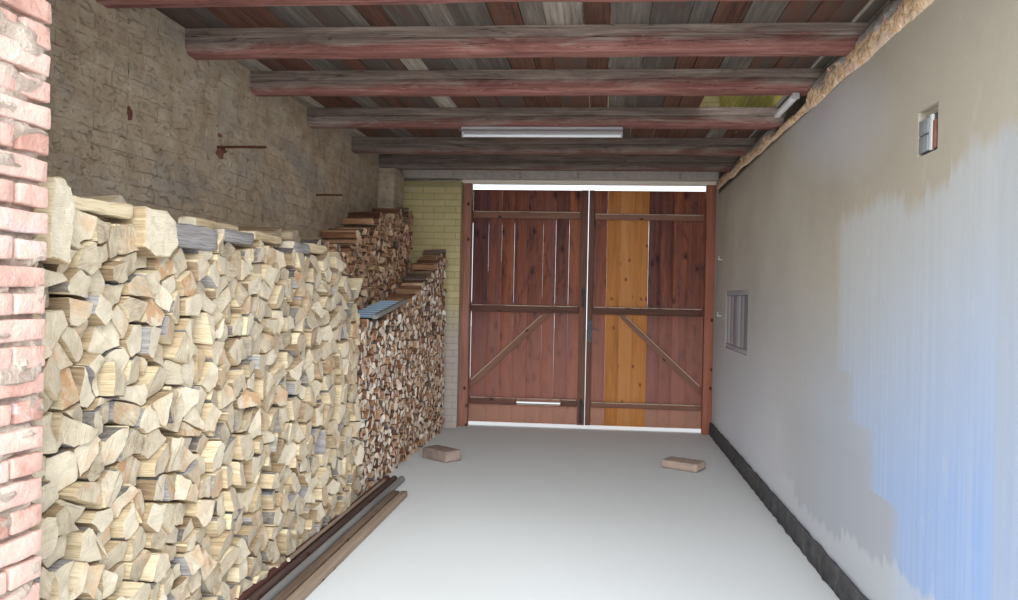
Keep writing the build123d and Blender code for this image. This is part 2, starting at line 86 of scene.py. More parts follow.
class Look:
    """A material in the making: its nodes, and a colour that is covered coat by coat."""

    def __init__(self, name, rough=0.85, metal=0.0, spec=0.25):
        self.name = name
        self.material = bpy.data.materials.new(name)
        self.material.use_nodes = True
        self.tree = self.material.node_tree
        self.shader = self.tree.nodes["Principled BSDF"]
        self.colour = None
        for key, value in (("Roughness", rough), ("Metallic", metal), ("Specular IOR Level", spec)):
            self.put(self.shader.inputs[key], value)

    def put(self, socket, value):
        if isinstance(value, Value):
            self.tree.links.new(value.socket, socket)
        elif isinstance(value, tuple) and len(value) == 3 and socket.type == "RGBA":
            socket.default_value = (*value, 1)
        else:
            socket.default_value = value

    def node(self, kind, out, fed, **settings):
        """Adds a node and feeds its sockets. Gives back one output, or all of them where out is None."""
        item = self.tree.nodes.new("ShaderNode" + kind)
        for key, value in settings.items():
            setattr(item, key, value)
        for key, value in fed.items():
            self.put(item.inputs[key], value)
        if out is None:
            return [Value(self, socket) for socket in item.outputs]
        return Value(self, item.outputs[out])

    def place(self, scale=(1, 1, 1), turn=(0, 0, 0)):
        """Places in the part's own frame, squeezed by a scale and turned."""
        where = self.node("TexCoord", "Object", {})
        return self.node("Mapping", 0, {"Vector": where, "Scale": scale, "Rotation": turn})

    def axes(self, where):
        return self.node("SeparateXYZ", None, {0: where})

    def join(self, x, y, z):
        return self.node("CombineXYZ", 0, {0: x, 1: y, 2: z})

    def tone(self, name="tone"):
        return self.node("Attribute", "Fac", {}, attribute_name=name)

    def noise(self, where, scale, detail=4.0, rough=0.6, bend=0.0):
        fed = {"Vector": where, "Scale": scale, "Detail": detail, "Roughness": rough, "Distortion": bend}
        return self.node("TexNoise", "Fac", fed)

    def grain(self, along, across):
        """Places along and across a piece, which differ from piece to piece."""
        u, v, _ = self.axes(self.node("TexCoord", "UV", {}))
        return self.join(u * along, v * across, self.tone() * 37.0)

    def fibres(self, along, across, detail, rough=0.6, bend=0.0):
        return self.noise(self.grain(along, across), 1.0, detail, rough, bend)

    def knots(self, where, share):
        """How far each place is from a knot, and whether that knot shows."""
        far, tint = self.node("TexVoronoi", None, {"Vector": where, "Scale": 1.0},
                              voronoi_dimensions="2D")[:2]
        return far, self.math("LESS_THAN", self.node("SeparateColor", 0, {"Color": tint}), share)

    def math(self, kind, a, b=0.0):
        return self.node("Math", 0, {0: a, 1: b}, operation=kind)

    def ramp(self, value, *stops, kind="LINEAR"):
        """A colour for each value. A stop is its place and then its red, green and blue."""
        item = self.tree.nodes.new("ShaderNodeValToRGB")
        band = item.color_ramp
        band.interpolation = kind
        for _ in stops[2:]:
            band.elements.new(0.5)
        for element, (at, *colour) in zip(band.elements, stops):
            element.position = at
            element.color = (*colour, 1)
        self.put(item.inputs[0], value)
        return Value(self, item.outputs[0])

    def mix(self, share, a, b):
        return self.node("Mix", 2, {0: share, 6: a, 7: b}, data_type="RGBA")

    def cover(self, share, colour):
        """Lays a colour over the look so far."""
        self.colour = self.mix(share, self.colour, colour)

    def finish(self, height, depth, rough=None):
        """Sets the colour and the relief, and keeps the look under its name."""
        self.put(self.shader.inputs["Base Color"], self.colour)
        if height is not None:
            bump = self.node("Bump", 0, {"Height": height, "Distance": depth, "Strength": 1.0})
            self.put(self.shader.inputs["Normal"], bump)
        if rough is not None:
            self.put(self.shader.inputs["Roughness"], rough)
        looks[self.name] = self.material


def shade(colour, share):
    return tuple(min(1, part * share) for part in colour)


def timber_look(name, stops, fine=70.0, knots=0.0, knot_colour=(0.05, 0.02, 0.01), rough=0.8, wear=None,
                worn=(0.5, 0.45, 0.38), shade_past=None):
    """Sawn or planed timber: streaks along the piece, a tone for each piece, knots and worn places.

    Past shade_past, a place along y, its outer face gets painted shade.
    """
    look = Look(name, rough)
    streak = look.fibres(2.2, fine, 6.0, 0.65, 0.4)
    drift = look.fibres(1.1, 9.0, 3.0, 0.6, 0.8)
    look.colour = look.ramp(streak * 0.5 + drift * 0.35 + look.tone().span(0, 1, -0.17, 0.32), *stops)
    if knots:
        far, pick = look.knots(look.grain(5.0, 8.0), knots)
        look.cover(far.span(0.07, 0.15, 1, 0) * pick, knot_colour)
    if wear:
        look.cover(look.fibres(3.0, 12.0, 7.0, 0.7).span(wear, wear + 0.09), worn)
    # Painted shade on the outer face, past shade_past
    if shade_past:
        painted_outer_shade = look.mix(streak.span(0.35, 0.65), (0.08, 0.065, 0.052), (0.20, 0.17, 0.135))
        look.cover(look.axes(look.place())[1].span(shade_past, shade_past + 0.01, 0, 0.75), painted_outer_shade)
    look.finish(streak, 0.0012)


def end_look(name, stops, orange):
    """Sawn end of a log: torn fibres across it, faint rings, a few cracks and a tone for each billet."""
    look = Look(name, 0.92, spec=0.1)
    across, up, _ = look.axes(look.node("TexCoord", "UV", {}))
    tone, hue = look.tone(), look.tone("hue")
    reach = look.math("SQRT", across ** 2.0 + up ** 2.0)
    angle = look.math("ARCTAN2", up, across)
    where = look.place()
    rings = look.math("SINE", (reach + look.noise(where, 22.0, 3.0) * 0.012) * 800.0)
    crack = look.noise(look.join(angle * 5.0, reach * 3.0, tone * 53.0), 1.0, 2.0)
    saw = look.noise(look.join(across * 16.0, up * 210.0, tone * 19.0), 1.0, 5.0, 0.7, 0.3)
    blotch = look.noise(where, 17.0, 6.0, 0.68)
    share = tone.span(0, 1, 0.22, 0.78) + blotch.span(0.3, 0.7, -0.20, 0.20)
    look.colour = look.ramp(share + saw.span(0.3, 0.7, -0.19, 0.19), *stops)
    warm = look.noise(where, 9.0, 5.0, 0.6).span(0.46, 0.58, 0, 0.55)
    look.cover(hue.span(0.55, 0.95) * warm, shade(orange, 1.1))
    strong = look.noise(where, 14.0, 4.0, 0.6).span(0.47, 0.53, 0, 0.8)
    look.cover(hue.span(0.955, 0.965) * strong, shade(orange, 0.9))
    darkest = stops[0][1:]
    look.cover(rings.span(-1, 1, 0.0, 0.10), shade(darkest, 0.7))
    # Painted shade: dark lines where the ends are cracked
    look.cover(crack.span(0.27, 0.31, 1, 0) * 0.35, (0.12, 0.08, 0.045))
    # Darker towards each end's rim: partly a dirt ring, partly painted shade of the gaps between billets
    look.cover(look.tone("rim").span(0.80, 1.0, 0, 0.32), shade(darkest, 0.72))
    look.finish(saw * 0.9 + blotch * 1.6, 0.007)


def split_look(name, stops, grey):
    """Split long side of a billet: torn fibres, some turned a bluish grey by the weather."""
    look = Look(name, 0.92, spec=0.1)
    fibres = look.fibres(5.0, 150.0, 6.0, 0.7, 0.6)
    broad = look.fibres(2.5, 22.0, 5.0, 0.65, 1.2)
    look.colour = look.ramp(fibres * 0.55 + broad * 0.45 + look.tone().span(0, 1, -0.22, 0.16), *stops)
    look.cover(fibres.span(0.44, 0.34, 0, 0.45), shade(stops[0][1:], 1.3))
    worn = look.mix(fibres.span(0.35, 0.65), shade(grey, 0.45), shade(grey, 1.2))
    look.cover(look.tone("hue").span(0.12, 0.08, 0, 0.85), worn)
    look.finish(fibres + broad * 1.4, 0.007)


def bark_look(name, low, high):
    """Bark in plates, dark between them."""
    look = Look(name, 0.95, spec=0.1)
    plates = look.fibres(14.0, 45.0, 7.0, 0.7, 1.5)
    look.colour = look.ramp(plates + look.tone().span(0, 1, -0.12, 0.12), (0.30, *low),
                            (0.52, *shade(high, 0.6)), (0.70, *high))
    look.finish(plates, 0.008)


def brick_look(name, stops, grime=(0.12, 0.10, 0.08), bloom=None, bloom_from=0.62, depth=0.004, foot=None,
               painted_outer_shade=None):
    """Fired or painted brick: a tone for each brick, pits, grime and, where it has any, a pale bloom.

    foot is the colour near the ground, and painted_outer_shade holds two colours of painted shade for the
    face that looks out at the yard.
    """
    look = Look(name, 0.92, spec=0.15)
    where = look.place()
    fine = look.noise(where, 60.0, 6.0, 0.7)
    mid = look.noise(where, 9.0, 5.0, 0.62)
    share = look.tone().span(0, 1, 0.1, 0.6) + mid.span(0.3, 0.7, -0.1, 0.35)
    look.colour = look.ramp(share, *stops)
    look.cover(look.noise(where, 1.3, 3.0, 0.55).span(0.50, 0.72, 0, 0.45), grime)
    look.cover(fine.span(0.60, 0.72, 0, 0.35), grime)
    if bloom:
        look.cover(look.noise(where, 5.0, 7.0, 0.7).span(bloom_from, bloom_from + 0.08, 0, 0.8), bloom)
    if foot:
        look.cover(look.axes(where)[2].span(1.55, 1.0, 0, 0.55), foot)
    # Painted shade: the face towards the yard is darkened
    if painted_outer_shade:
        dark, light = painted_outer_shade
        look.cover(look.axes(where)[1].span(*front_brick_shade_span, 0, 0.86),
                   look.ramp(share, (0.2, *dark), (0.9, *light)))
    look.finish(fine * 0.6 + mid * 1.4, depth)


def lime_look(name, share=1.0):
    """Limewashed brick: beige-brown and uneven, greyer where damp, with a few red patches of bare brick."""
    look = Look(name, 0.94, spec=0.1)
    where = look.place()
    y = look.axes(where)[1]
    mid = look.noise(where, 6.0, 7.0, 0.7, 0.4)
    fine = look.noise(where, 46.0, 6.0, 0.72)
    damp = look.noise(look.place((1, 0.6, 1.3)), 2.1, 6.0, 0.68, 0.5)
    chips = look.noise(look.place((1, 0.8, 1.5)), 19.0, 5.0, 0.75, 0.8)
    stops = ((0.36, 0.295, 0.216, 0.146), (0.46, 0.40, 0.305, 0.210), (0.56, 0.475, 0.38, 0.270),
             (0.68, 0.55, 0.465, 0.35))
    value = look.noise(where, 0.9, 4.0, 0.6) * 0.40 + mid * 0.60 + look.tone().span(0, 1, -0.022, 0.022)
    look.colour = look.ramp(value, *[(at, *shade(colour, share)) for at, *colour in stops])
    look.cover(damp.span(0.50, 0.66, 0, 0.55), shade((0.28, 0.265, 0.25), share))
    look.cover(look.noise(where, 3.3, 5.0, 0.62).span(0.69, 0.73, 0, 0.6), (0.30, 0.14, 0.09))
    for value, low, high, most, colour in ((fine, 0.58, 0.68, 0.42, (0.15, 0.12, 0.095)),
                                           (chips, 0.58, 0.66, 0.38, (0.16, 0.115, 0.085)),
                                           (chips, 0.40, 0.31, 0.32, (0.66, 0.58, 0.45)),
                                           (y, 0.5, -3.0, 0.30, (0.19, 0.145, 0.11))):
        look.cover(value.span(low, high, 0, most), shade(colour, share))
    # Painted shade: the face towards the yard is darkened
    look.cover(y.span(*front_shade_span, 0, 0.85),
               look.mix(mid.span(0.4, 0.6), (0.13, 0.11, 0.09), (0.27, 0.235, 0.19)))
    look.finish(fine * 0.5 + mid * 2.0 - chips.span(0.55, 0.68, 0, 0.5), 0.009)


def metal_look(name, colour, rust, rough=0.55, metal=0.6):
    """Steel or iron with rust where its spots pass a level."""
    look = Look(name, rough, metal)
    where = look.place()
    spots = look.noise(where, 38.0, 7.0, 0.7)
    look.colour = look.mix(look.noise(where, 11.0, 3.0), shade(colour, 0.75), shade(colour, 1.25))
    look.cover(spots.span(rust, rust + 0.12), (0.12, 0.045, 0.02))
    look.finish(spots, 0.0006, spots.span(0.3, 0.7, rough - 0.1, rough + 0.3))


def plain_look(name, colour, rough=0.5, change=0.12, scale=18.0, depth=0.0005, spec=0.4):
    """Paint, enamel or plastic, a little uneven."""
    look = Look(name, rough, spec=spec)
    drift = look.noise(look.place(), scale, 5.0)
    look.colour = look.mix(drift, shade(colour, 1 - change), shade(colour, 1 + change))
    look.finish(drift, depth)


def wall_render_look():
    """Trowelled render: beige above, a paler coat brushed on in upright strokes, a pale foot; low down and
    towards the mouth the coat and the wall turn blue with painted skylight.
    """
    look = Look("wall_render", 0.95, spec=0.1)
    where = look.place()
    x, y, z = look.axes(where)
    trowel = look.noise(look.place((1, 3, 2.0), (0.5, 0, 0)), 3.0, 6.0, 0.6, 0.7)
    strokes = look.noise(look.place((1, 26, 0.7)), 1.0, 5.0, 0.6)
    fine = look.noise(where, 150.0, 4.0, 0.7)
    fray = look.noise(look.place((1, 13, 3)), 1.0, 3.0, 0.5)
    inner = look.math("GREATER_THAN", 1.9, x)

    def steps(value, low, high, least, most, *marks):
        """A height that changes in steps along a value: pairs of where a step starts and its height."""
        stops = []
        for at, level in marks:
            grey = (level - least) / (most - least)
            stops.append((max(0.0, (at - low) / (high - low)), grey, grey, grey))
        return look.ramp(value.span(low, high), *stops, kind="CONSTANT") * (most - least) + least

    stray = y + fray.span(0.3, 0.7, -0.02, 0.02)
    brush_top = steps(stray, -3.8, -1.0, 1.0, 3.0, (-3.8, 2.62), (-3.30, 2.46), (-3.02, 2.12), (-2.83, 2.10),
                      (-2.63, 2.06), (-2.49, 1.99), (-2.26, 1.95), (-2.06, 2.01), (-1.86, 2.03),
                      (-1.61, 2.0))
    brush_left = steps(z, 0.0, 2.2, -3.0, 0.0, (0.0, -1.99), (0.66, -1.68), (0.93, -1.36), (1.17, -1.15),
                       (1.6, -1.12))
    top_gap = brush_top - (z + fray.span(0.3, 0.7, -0.03, 0.03))
    coat = top_gap.span(-0.02, 0.05) * (brush_left - stray).span(-0.05, 0.09) * inner
    # Painted skylight: the coat turns blue low down and towards the mouth
    pale = look.ramp(z.span(2.15, 0.75, 0, 0.78) + y.span(-1.3, -2.8, 0, 0.24), (0.0, 0.49, 0.47, 0.425),
                     (0.40, 0.42, 0.435, 0.455), (0.72, 0.335, 0.405, 0.555), (1.0, 0.265, 0.375, 0.62))
    pale = look.mix(strokes.span(0.35, 0.7, 0, 0.28), pale, (0.54, 0.56, 0.60))
    pale = look.mix(y.span(-2.83, -2.86, 0, 0.45), pale, (0.37, 0.39, 0.42))
    look.colour = look.ramp(look.noise(where, 1.1, 5.0, 0.6), (0.3, 0.365, 0.32, 0.26),
                            (0.5, 0.42, 0.375, 0.305),
                            (0.7, 0.46, 0.415, 0.34))
    look.cover(z.span(1.9, 0.5, 0, 0.60), (0.385, 0.375, 0.375))
    look.cover(y.span(-0.2, -1.8, 0, 0.6), (0.395, 0.345, 0.27))
    look.cover(z.span(2.2, 1.2) * y.span(-1.2, 0.2, 0, 0.5), (0.43, 0.425, 0.455))
    # Painted skylight: the wall turns blue low down towards the mouth
    look.cover(z.span(1.7, 0.8, 0, 0.85) * y.span(0.0, -1.0), (0.375, 0.415, 0.495))
    look.cover(z.span(1.3, 0.3) * y.span(-1.2, 0.6) * 0.75, (0.53, 0.545, 0.60))
    look.cover(coat * z.span(2.2, 1.5, 0.72, 0.92), pale)
    damp = z.span(0.95, 0.75) * y.span(0.2, -0.5) * (1.0 - coat)
    look.cover(damp * inner * 0.55, (0.345, 0.35, 0.375))
    foot = steps(stray, -3.8, 3.6, 0.0, 1.0, (-3.8, 0.42), (-1.9, 0.37), (-1.3, 0.29), (-0.9, 0.28),
                 (-0.3, 0.37),
                 (0.1, 0.31), (0.6, 0.40), (1.1, 0.20), (2.2, 0.17))
    foot_gap = foot - (z + fray.span(0.3, 0.7, -0.035, 0.035))
    look.cover(foot_gap.span(-0.005, 0.03) * inner * 0.6, (0.50, 0.515, 0.54))
    patch_y = (y + 0.80) / 0.80
    patch_z = (z - (patch_y * 0.16 + 2.60)) / 0.26
    look.cover((patch_y ** 2.0 + patch_z ** 2.0).span(2.4, 0.0, 0, 0.42) * inner, (0.55, 0.56, 0.66))
    look.cover(trowel.span(0.60, 0.75, 0, 0.13), (0.26, 0.24, 0.21))
    look.cover(trowel.span(0.28, 0.38, 0.14, 0), (0.62, 0.60, 0.57))
    # Painted shade: near black inside the chase at the top of the wall, under the deck
    chase = x.span(1.823, 1.835) * z.span(2.66, 2.70) * inner * y.span(-3.728, -3.722, 0, 0.88)
    look.cover(chase * y.span(3.49, 3.484), (0.075, 0.06, 0.05))
    # Painted shade on the wall's end face towards the yard
    look.cover(y.span(*front_shade_span, 0, 0.75), (0.10, 0.095, 0.085))
    look.finish(trowel * 1.2 + fine * 0.25, 0.0016)


def beam_look():
    """Old beam: dusty grey-brown upper part, worn red-brown paint below, cracks along it."""
    look = Look("old_beam", 0.8)
    fibres = look.fibres(1.6, 60.0, 7.0, 0.7, 0.5)
    broad = look.fibres(1.8, 10.0, 5.0, 0.65, 1.0)
    both = fibres * 0.5 + broad * 0.5
    red = look.ramp(both, (0.30, 0.075, 0.032, 0.027), (0.50, 0.235, 0.094, 0.078),
                    (0.70, 0.41, 0.215, 0.18))
    grey = look.ramp(both, (0.30, 0.075, 0.052, 0.044), (0.5, 0.23, 0.168, 0.138), (0.72, 0.46, 0.365, 0.31))
    line = look.tone("rim") + broad.span(0.3, 0.7, -0.30, 0.30)
    line = line + look.axes(look.place())[0].span(-1.8, 0.9, 0.26, 0.0) + look.tone().span(0.55, 0.95, 0.0,
                                                                                           0.42)
    look.colour = look.mix(line.span(0.38, 0.66), red, grey)
    look.cover(look.tone().span(0.60, 0.95, 0.0, 0.40), (0.055, 0.045, 0.040))
    look.cover(look.fibres(14.0, 60.0, 7.0, 0.75).span(0.60, 0.68, 0, 0.6), (0.40, 0.31, 0.27))
    # Painted shade: thin near-black lines where the beams are cracked
    crack = look.math("ABSOLUTE", look.fibres(0.9, 26.0, 3.0, 0.5, 0.25) - 0.5)
    look.cover(crack.span(0.0, 0.008, 0.85, 0), (0.018, 0.011, 0.010))
    look.finish(fibres + broad, 0.005)


def foam_look():
    """Aged building foam: orange-brown lobes and pits below, a dull pale skin above."""
    look = Look("aged_foam", 0.92, spec=0.12)
    where = look.place()
    lobes = look.noise(where, 34.0, 6.0, 0.70, 0.6)
    pits = look.noise(where, 80.0, 4.0, 0.7)
    look.colour = look.ramp(lobes, (0.32, 0.38, 0.22, 0.125), (0.46, 0.78, 0.51, 0.30),
                            (0.58, 0.94, 0.74, 0.53),
                            (0.74, 0.88, 0.72, 0.54))
    edge = look.tone("rim") + look.noise(where, 5.0, 4.0).span(0.3, 0.7, -0.22, 0.22)
    look.cover(edge.span(0.36, 0.46), look.ramp(lobes, (0.3, 0.36, 0.32, 0.295), (0.7, 0.68, 0.63, 0.59)))
    # Painted shade: the foam darkens up under the deck, and is near black where it is missing and the chase
    # lies open
    look.cover(edge.span(0.80, 0.95, 0, 0.6), (0.12, 0.10, 0.09))
    look.cover(edge.span(1.1, 1.3), look.ramp(lobes, (0.3, 0.030, 0.017, 0.012), (0.7, 0.10, 0.060, 0.038)))
    look.cover(edge.span(0.09, 0.0, 0, 0.7), (0.72, 0.55, 0.45))
    look.cover(pits.span(0.38, 0.30, 0, 0.7), (0.055, 0.028, 0.015))
    look.finish(lobes + pits * 0.5, 0.010)


def door_look():
    """Stained softwood boards: each with a stain of its own, dark knots and stains, paler near the ground."""
    look = Look("door_wood", 0.5, spec=0.3)
    z = look.axes(look.place())[2]
    fibres = look.fibres(1.6, 95.0, 6.0, 0.65, 0.5)
    drift = look.fibres(0.8, 9.0, 4.0, 0.6, 1.0)
    share = fibres * 0.45 + drift * 0.45 + look.tone().span(0, 1, -0.12, 0.17)
    look.colour = look.ramp(share, (0.22, 0.042, 0.017, 0.017), (0.40, 0.135, 0.042, 0.030),
                            (0.55, 0.27, 0.080, 0.038), (0.78, 0.46, 0.170, 0.070))
    look.cover(look.fibres(0.5, 5.0, 3.0, 0.6).span(0.50, 0.62, 0, 0.42), (0.18, 0.075, 0.078))
    look.cover(look.fibres(3.6, 12.0, 6.0, 0.70, 0.8).span(0.52, 0.66, 0, 0.72), (0.045, 0.018, 0.017))
    far, pick = look.knots(look.grain(4.0, 7.5), 0.27)
    bent = far + fibres.span(0.3, 0.7, -0.06, 0.06)
    look.cover(bent.span(0.16, 0.34, 0.55, 0) * pick, (0.060, 0.022, 0.018))
    look.cover(bent.span(0.07, 0.15, 0.9, 0) * pick, (0.030, 0.010, 0.008))
    look.cover(z.span(1.5, 0.5, 0, 0.34), (0.40, 0.155, 0.125))
    look.cover(z.span(1.6, 1.2, 0, 0.15), (0.62, 0.31, 0.235))
    look.cover(z.span(0.30, 0.22, 0, 0.34), (0.62, 0.36, 0.24))
    look.finish(fibres, 0.0015)


end_look("pale_end", ((0.05, 0.33, 0.255, 0.175), (0.3, 0.5, 0.415, 0.3), (0.6, 0.63, 0.535, 0.4),
         (0.95, 0.74, 0.645, 0.505)), (0.55, 0.31, 0.16))
split_look("pale_split", ((0.25, 0.22, 0.145, 0.085), (0.45, 0.46, 0.34, 0.205), (0.62, 0.66, 0.535, 0.35),
           (0.8, 0.76, 0.65, 0.47)), (0.33, 0.315, 0.325))
bark_look("pale_bark", (0.07, 0.058, 0.052), (0.32, 0.275, 0.235))
end_look("brown_end", ((0.05, 0.12, 0.068, 0.042), (0.32, 0.33, 0.205, 0.125), (0.62, 0.54, 0.385, 0.26),
         (0.95, 0.8, 0.65, 0.47)), (0.42, 0.17, 0.08))
end_look("tan_end", ((0.05, 0.21, 0.165, 0.135), (0.32, 0.56, 0.45, 0.36), (0.62, 0.84, 0.75, 0.63),
         (0.95, 0.97, 0.92, 0.84)), (0.54, 0.28, 0.17))
split_look("brown_split", ((0.25, 0.075, 0.035, 0.025), (0.42, 0.26, 0.125, 0.068),
           (0.58, 0.43, 0.235, 0.13), (0.72, 0.6, 0.45, 0.29)), (0.155, 0.13, 0.14))
bark_look("brown_bark", (0.04, 0.027, 0.02), (0.22, 0.15, 0.105))
# red_brick and pier_mortar get painted shade on their faces towards the yard
brick_look("red_brick", ((0.1, 0.38, 0.19, 0.145), (0.4, 0.57, 0.345, 0.285), (0.7, 0.67, 0.46, 0.39),
           (0.95, 0.55, 0.44, 0.45)), grime=(0.27, 0.16, 0.14), bloom=(0.72, 0.6, 0.6), bloom_from=0.62,
           depth=0.01, painted_outer_shade=((0.13, 0.045, 0.03), (0.27, 0.125, 0.09)))
brick_look("dusty_brick", ((0.1, 0.2, 0.145, 0.125), (0.5, 0.33, 0.245, 0.205), (0.95, 0.46, 0.34, 0.27)),
           bloom=(0.45, 0.4, 0.38), depth=0.005)
brick_look("pier_mortar", ((0.1, 0.22, 0.15, 0.125), (0.5, 0.46, 0.365, 0.3), (0.95, 0.74, 0.66, 0.57)),
           grime=(0.2, 0.14, 0.11), depth=0.016, painted_outer_shade=((0.16, 0.135, 0.11), (0.3, 0.265, 0.22)))
lime_look("lime_brick")
lime_look("lime_mortar", 0.9)
brick_look("yellow_brick", ((0.1, 0.52, 0.42, 0.21), (0.5, 0.57, 0.47, 0.24), (0.95, 0.62, 0.52, 0.285)),
           grime=(0.4, 0.335, 0.18), bloom=(0.46, 0.43, 0.33), bloom_from=0.64, depth=0.004,
           foot=(0.42, 0.36, 0.45))
brick_look("yellow_mortar", ((0.1, 0.4, 0.33, 0.165), (0.95, 0.47, 0.39, 0.21)), grime=(0.34, 0.28, 0.15),
           depth=0.006, foot=(0.36, 0.31, 0.38))
brick_look("loft_brick", ((0.1, 0.55, 0.48, 0.1), (0.5, 0.72, 0.64, 0.17), (0.95, 0.8, 0.74, 0.32)),
           grime=(0.3, 0.26, 0.08), depth=0.004)
wall_render_look()
brick_look("plinth_rough", ((0.2, 0.045, 0.045, 0.05), (0.6, 0.1, 0.1, 0.105), (0.95, 0.2, 0.195, 0.185)),
           depth=0.012)
foam_look()
beam_look()
timber_look("deck_wood", ((0.14, 0.026, 0.015, 0.012), (0.32, 0.115, 0.048, 0.03),
            (0.46, 0.072, 0.06, 0.052), (0.62, 0.145, 0.118, 0.098), (0.84, 0.4, 0.35, 0.28)), fine=50.0,
            wear=0.66)
door_look()
timber_look("honey_wood", ((0.2, 0.25, 0.087, 0.022), (0.46, 0.49, 0.19, 0.046), (0.8, 0.57, 0.29, 0.125)),
            knots=0.38, knot_colour=(0.2, 0.065, 0.026), rough=0.5)
timber_look("ledge_wood", ((0.2, 0.085, 0.042, 0.032), (0.45, 0.19, 0.09, 0.062), (0.7, 0.28, 0.145, 0.1),
            (0.9, 0.44, 0.3, 0.22)), knots=0.3, wear=0.7, worn=(0.4, 0.29, 0.23), rough=0.7)
# Pale timber for top edges: painted highlight, and partly wear
timber_look("worn_edge", ((0.2, 0.28, 0.2, 0.15), (0.5, 0.5, 0.38, 0.29), (0.85, 0.66, 0.53, 0.42)),
            rough=0.7)
timber_look("rail_wood", ((0.2, 0.14, 0.045, 0.03), (0.45, 0.3, 0.105, 0.065), (0.7, 0.42, 0.175, 0.115),
            (0.9, 0.52, 0.29, 0.2)), knots=0.3, wear=0.64, worn=(0.42, 0.31, 0.25), rough=0.65)
# The door lintel gets painted shade on its outer face
timber_look("pale_timber", ((0.2, 0.5, 0.44, 0.36), (0.5, 0.8, 0.73, 0.63), (0.85, 0.92, 0.87, 0.78)),
            wear=0.68, worn=(0.9, 0.86, 0.78), shade_past=3.7)
timber_look("roof_wood", ((0.2, 0.12, 0.075, 0.042), (0.5, 0.28, 0.19, 0.11), (0.85, 0.42, 0.31, 0.2)),
            knots=0.4, knot_colour=(0.07, 0.035, 0.018))
timber_look("hatch_wood", ((0.2, 0.17, 0.16, 0.165), (0.5, 0.32, 0.315, 0.33), (0.85, 0.5, 0.5, 0.51)),
            fine=90.0, wear=0.66)
plain_look("bar_paint", (0.52, 0.45, 0.405), 0.8, 0.35, 20.0, 0.002, 0.15)
timber_look("post_wood", ((0.2, 0.26, 0.115, 0.085), (0.45, 0.5, 0.235, 0.175), (0.7, 0.64, 0.35, 0.26),
            (0.9, 0.72, 0.46, 0.36)), knots=0.3, wear=0.66, worn=(0.52, 0.38, 0.3), rough=0.65)
timber_look("grey_wood", ((0.2, 0.07, 0.065, 0.06), (0.5, 0.2, 0.19, 0.175), (0.85, 0.38, 0.36, 0.33)),
            wear=0.62)
timber_look("tan_wood", ((0.2, 0.1, 0.065, 0.045), (0.5, 0.235, 0.165, 0.12), (0.85, 0.36, 0.27, 0.2)),
            knots=0.3)
timber_look("red_pole", ((0.2, 0.03, 0.012, 0.01), (0.5, 0.095, 0.04, 0.034), (0.85, 0.19, 0.095, 0.08)),
            fine=30.0, knots=0.35)
timber_look("dark_pole", ((0.2, 0.022, 0.013, 0.011), (0.5, 0.075, 0.045, 0.038), (0.85, 0.16, 0.11, 0.09)),
            fine=30.0, knots=0.35)
timber_look("grey_pole", ((0.2, 0.08, 0.072, 0.066), (0.5, 0.19, 0.175, 0.165), (0.85, 0.31, 0.29, 0.275)),
            fine=30.0, rough=0.6)
metal_look("dark_steel", (0.085, 0.075, 0.075), 0.55, metal=0.4)
metal_look("lock_steel", (0.13, 0.13, 0.135), 0.56, rough=0.5, metal=0.35)
metal_look("pale_steel", (0.42, 0.4, 0.37), 0.66, rough=0.4)
metal_look("rusty_iron", (0.075, 0.035, 0.022), 0.42, rough=0.8, metal=0.3)
plain_look("enamel", (0.45, 0.42, 0.425), 0.35, 0.05, 6.0)
plain_look("tube_glass", (0.78, 0.78, 0.8), 0.25, 0.04, 8.0)
plain_look("socket_grey", (0.23, 0.235, 0.245), 0.45, 0.12)
brick_look("dusty_red", ((0.1, 0.2, 0.07, 0.05), (0.5, 0.3, 0.12, 0.08), (0.95, 0.42, 0.22, 0.17)),
           bloom=(0.5, 0.42, 0.45), bloom_from=0.58, depth=0.004)
brick_look("bare_patch", ((0.1, 0.065, 0.028, 0.022), (0.5, 0.16, 0.065, 0.048), (0.95, 0.26, 0.13, 0.1)),
           grime=(0.05, 0.03, 0.02), depth=0.006)
plain_look("socket_pale", (0.6, 0.6, 0.58), 0.4, 0.06)
plain_look("socket_dark", (0.07, 0.065, 0.06), 0.6, 0.2)
plain_look("blue_paint", (0.52, 0.73, 0.98), 0.5, 0.15, 26.0, 0.001)
# Painted shade for the troughs of the corrugated sheet
plain_look("blue_dark", (0.055, 0.1, 0.2), 0.55, 0.3, 26.0, 0.001)
brick_look("roof_cement", ((0.1, 0.2, 0.2, 0.185), (0.5, 0.31, 0.305, 0.285), (0.9, 0.4, 0.395, 0.37)),
           grime=(0.13, 0.13, 0.105), bloom=(0.24, 0.25, 0.16), bloom_from=0.66, depth=0.002)


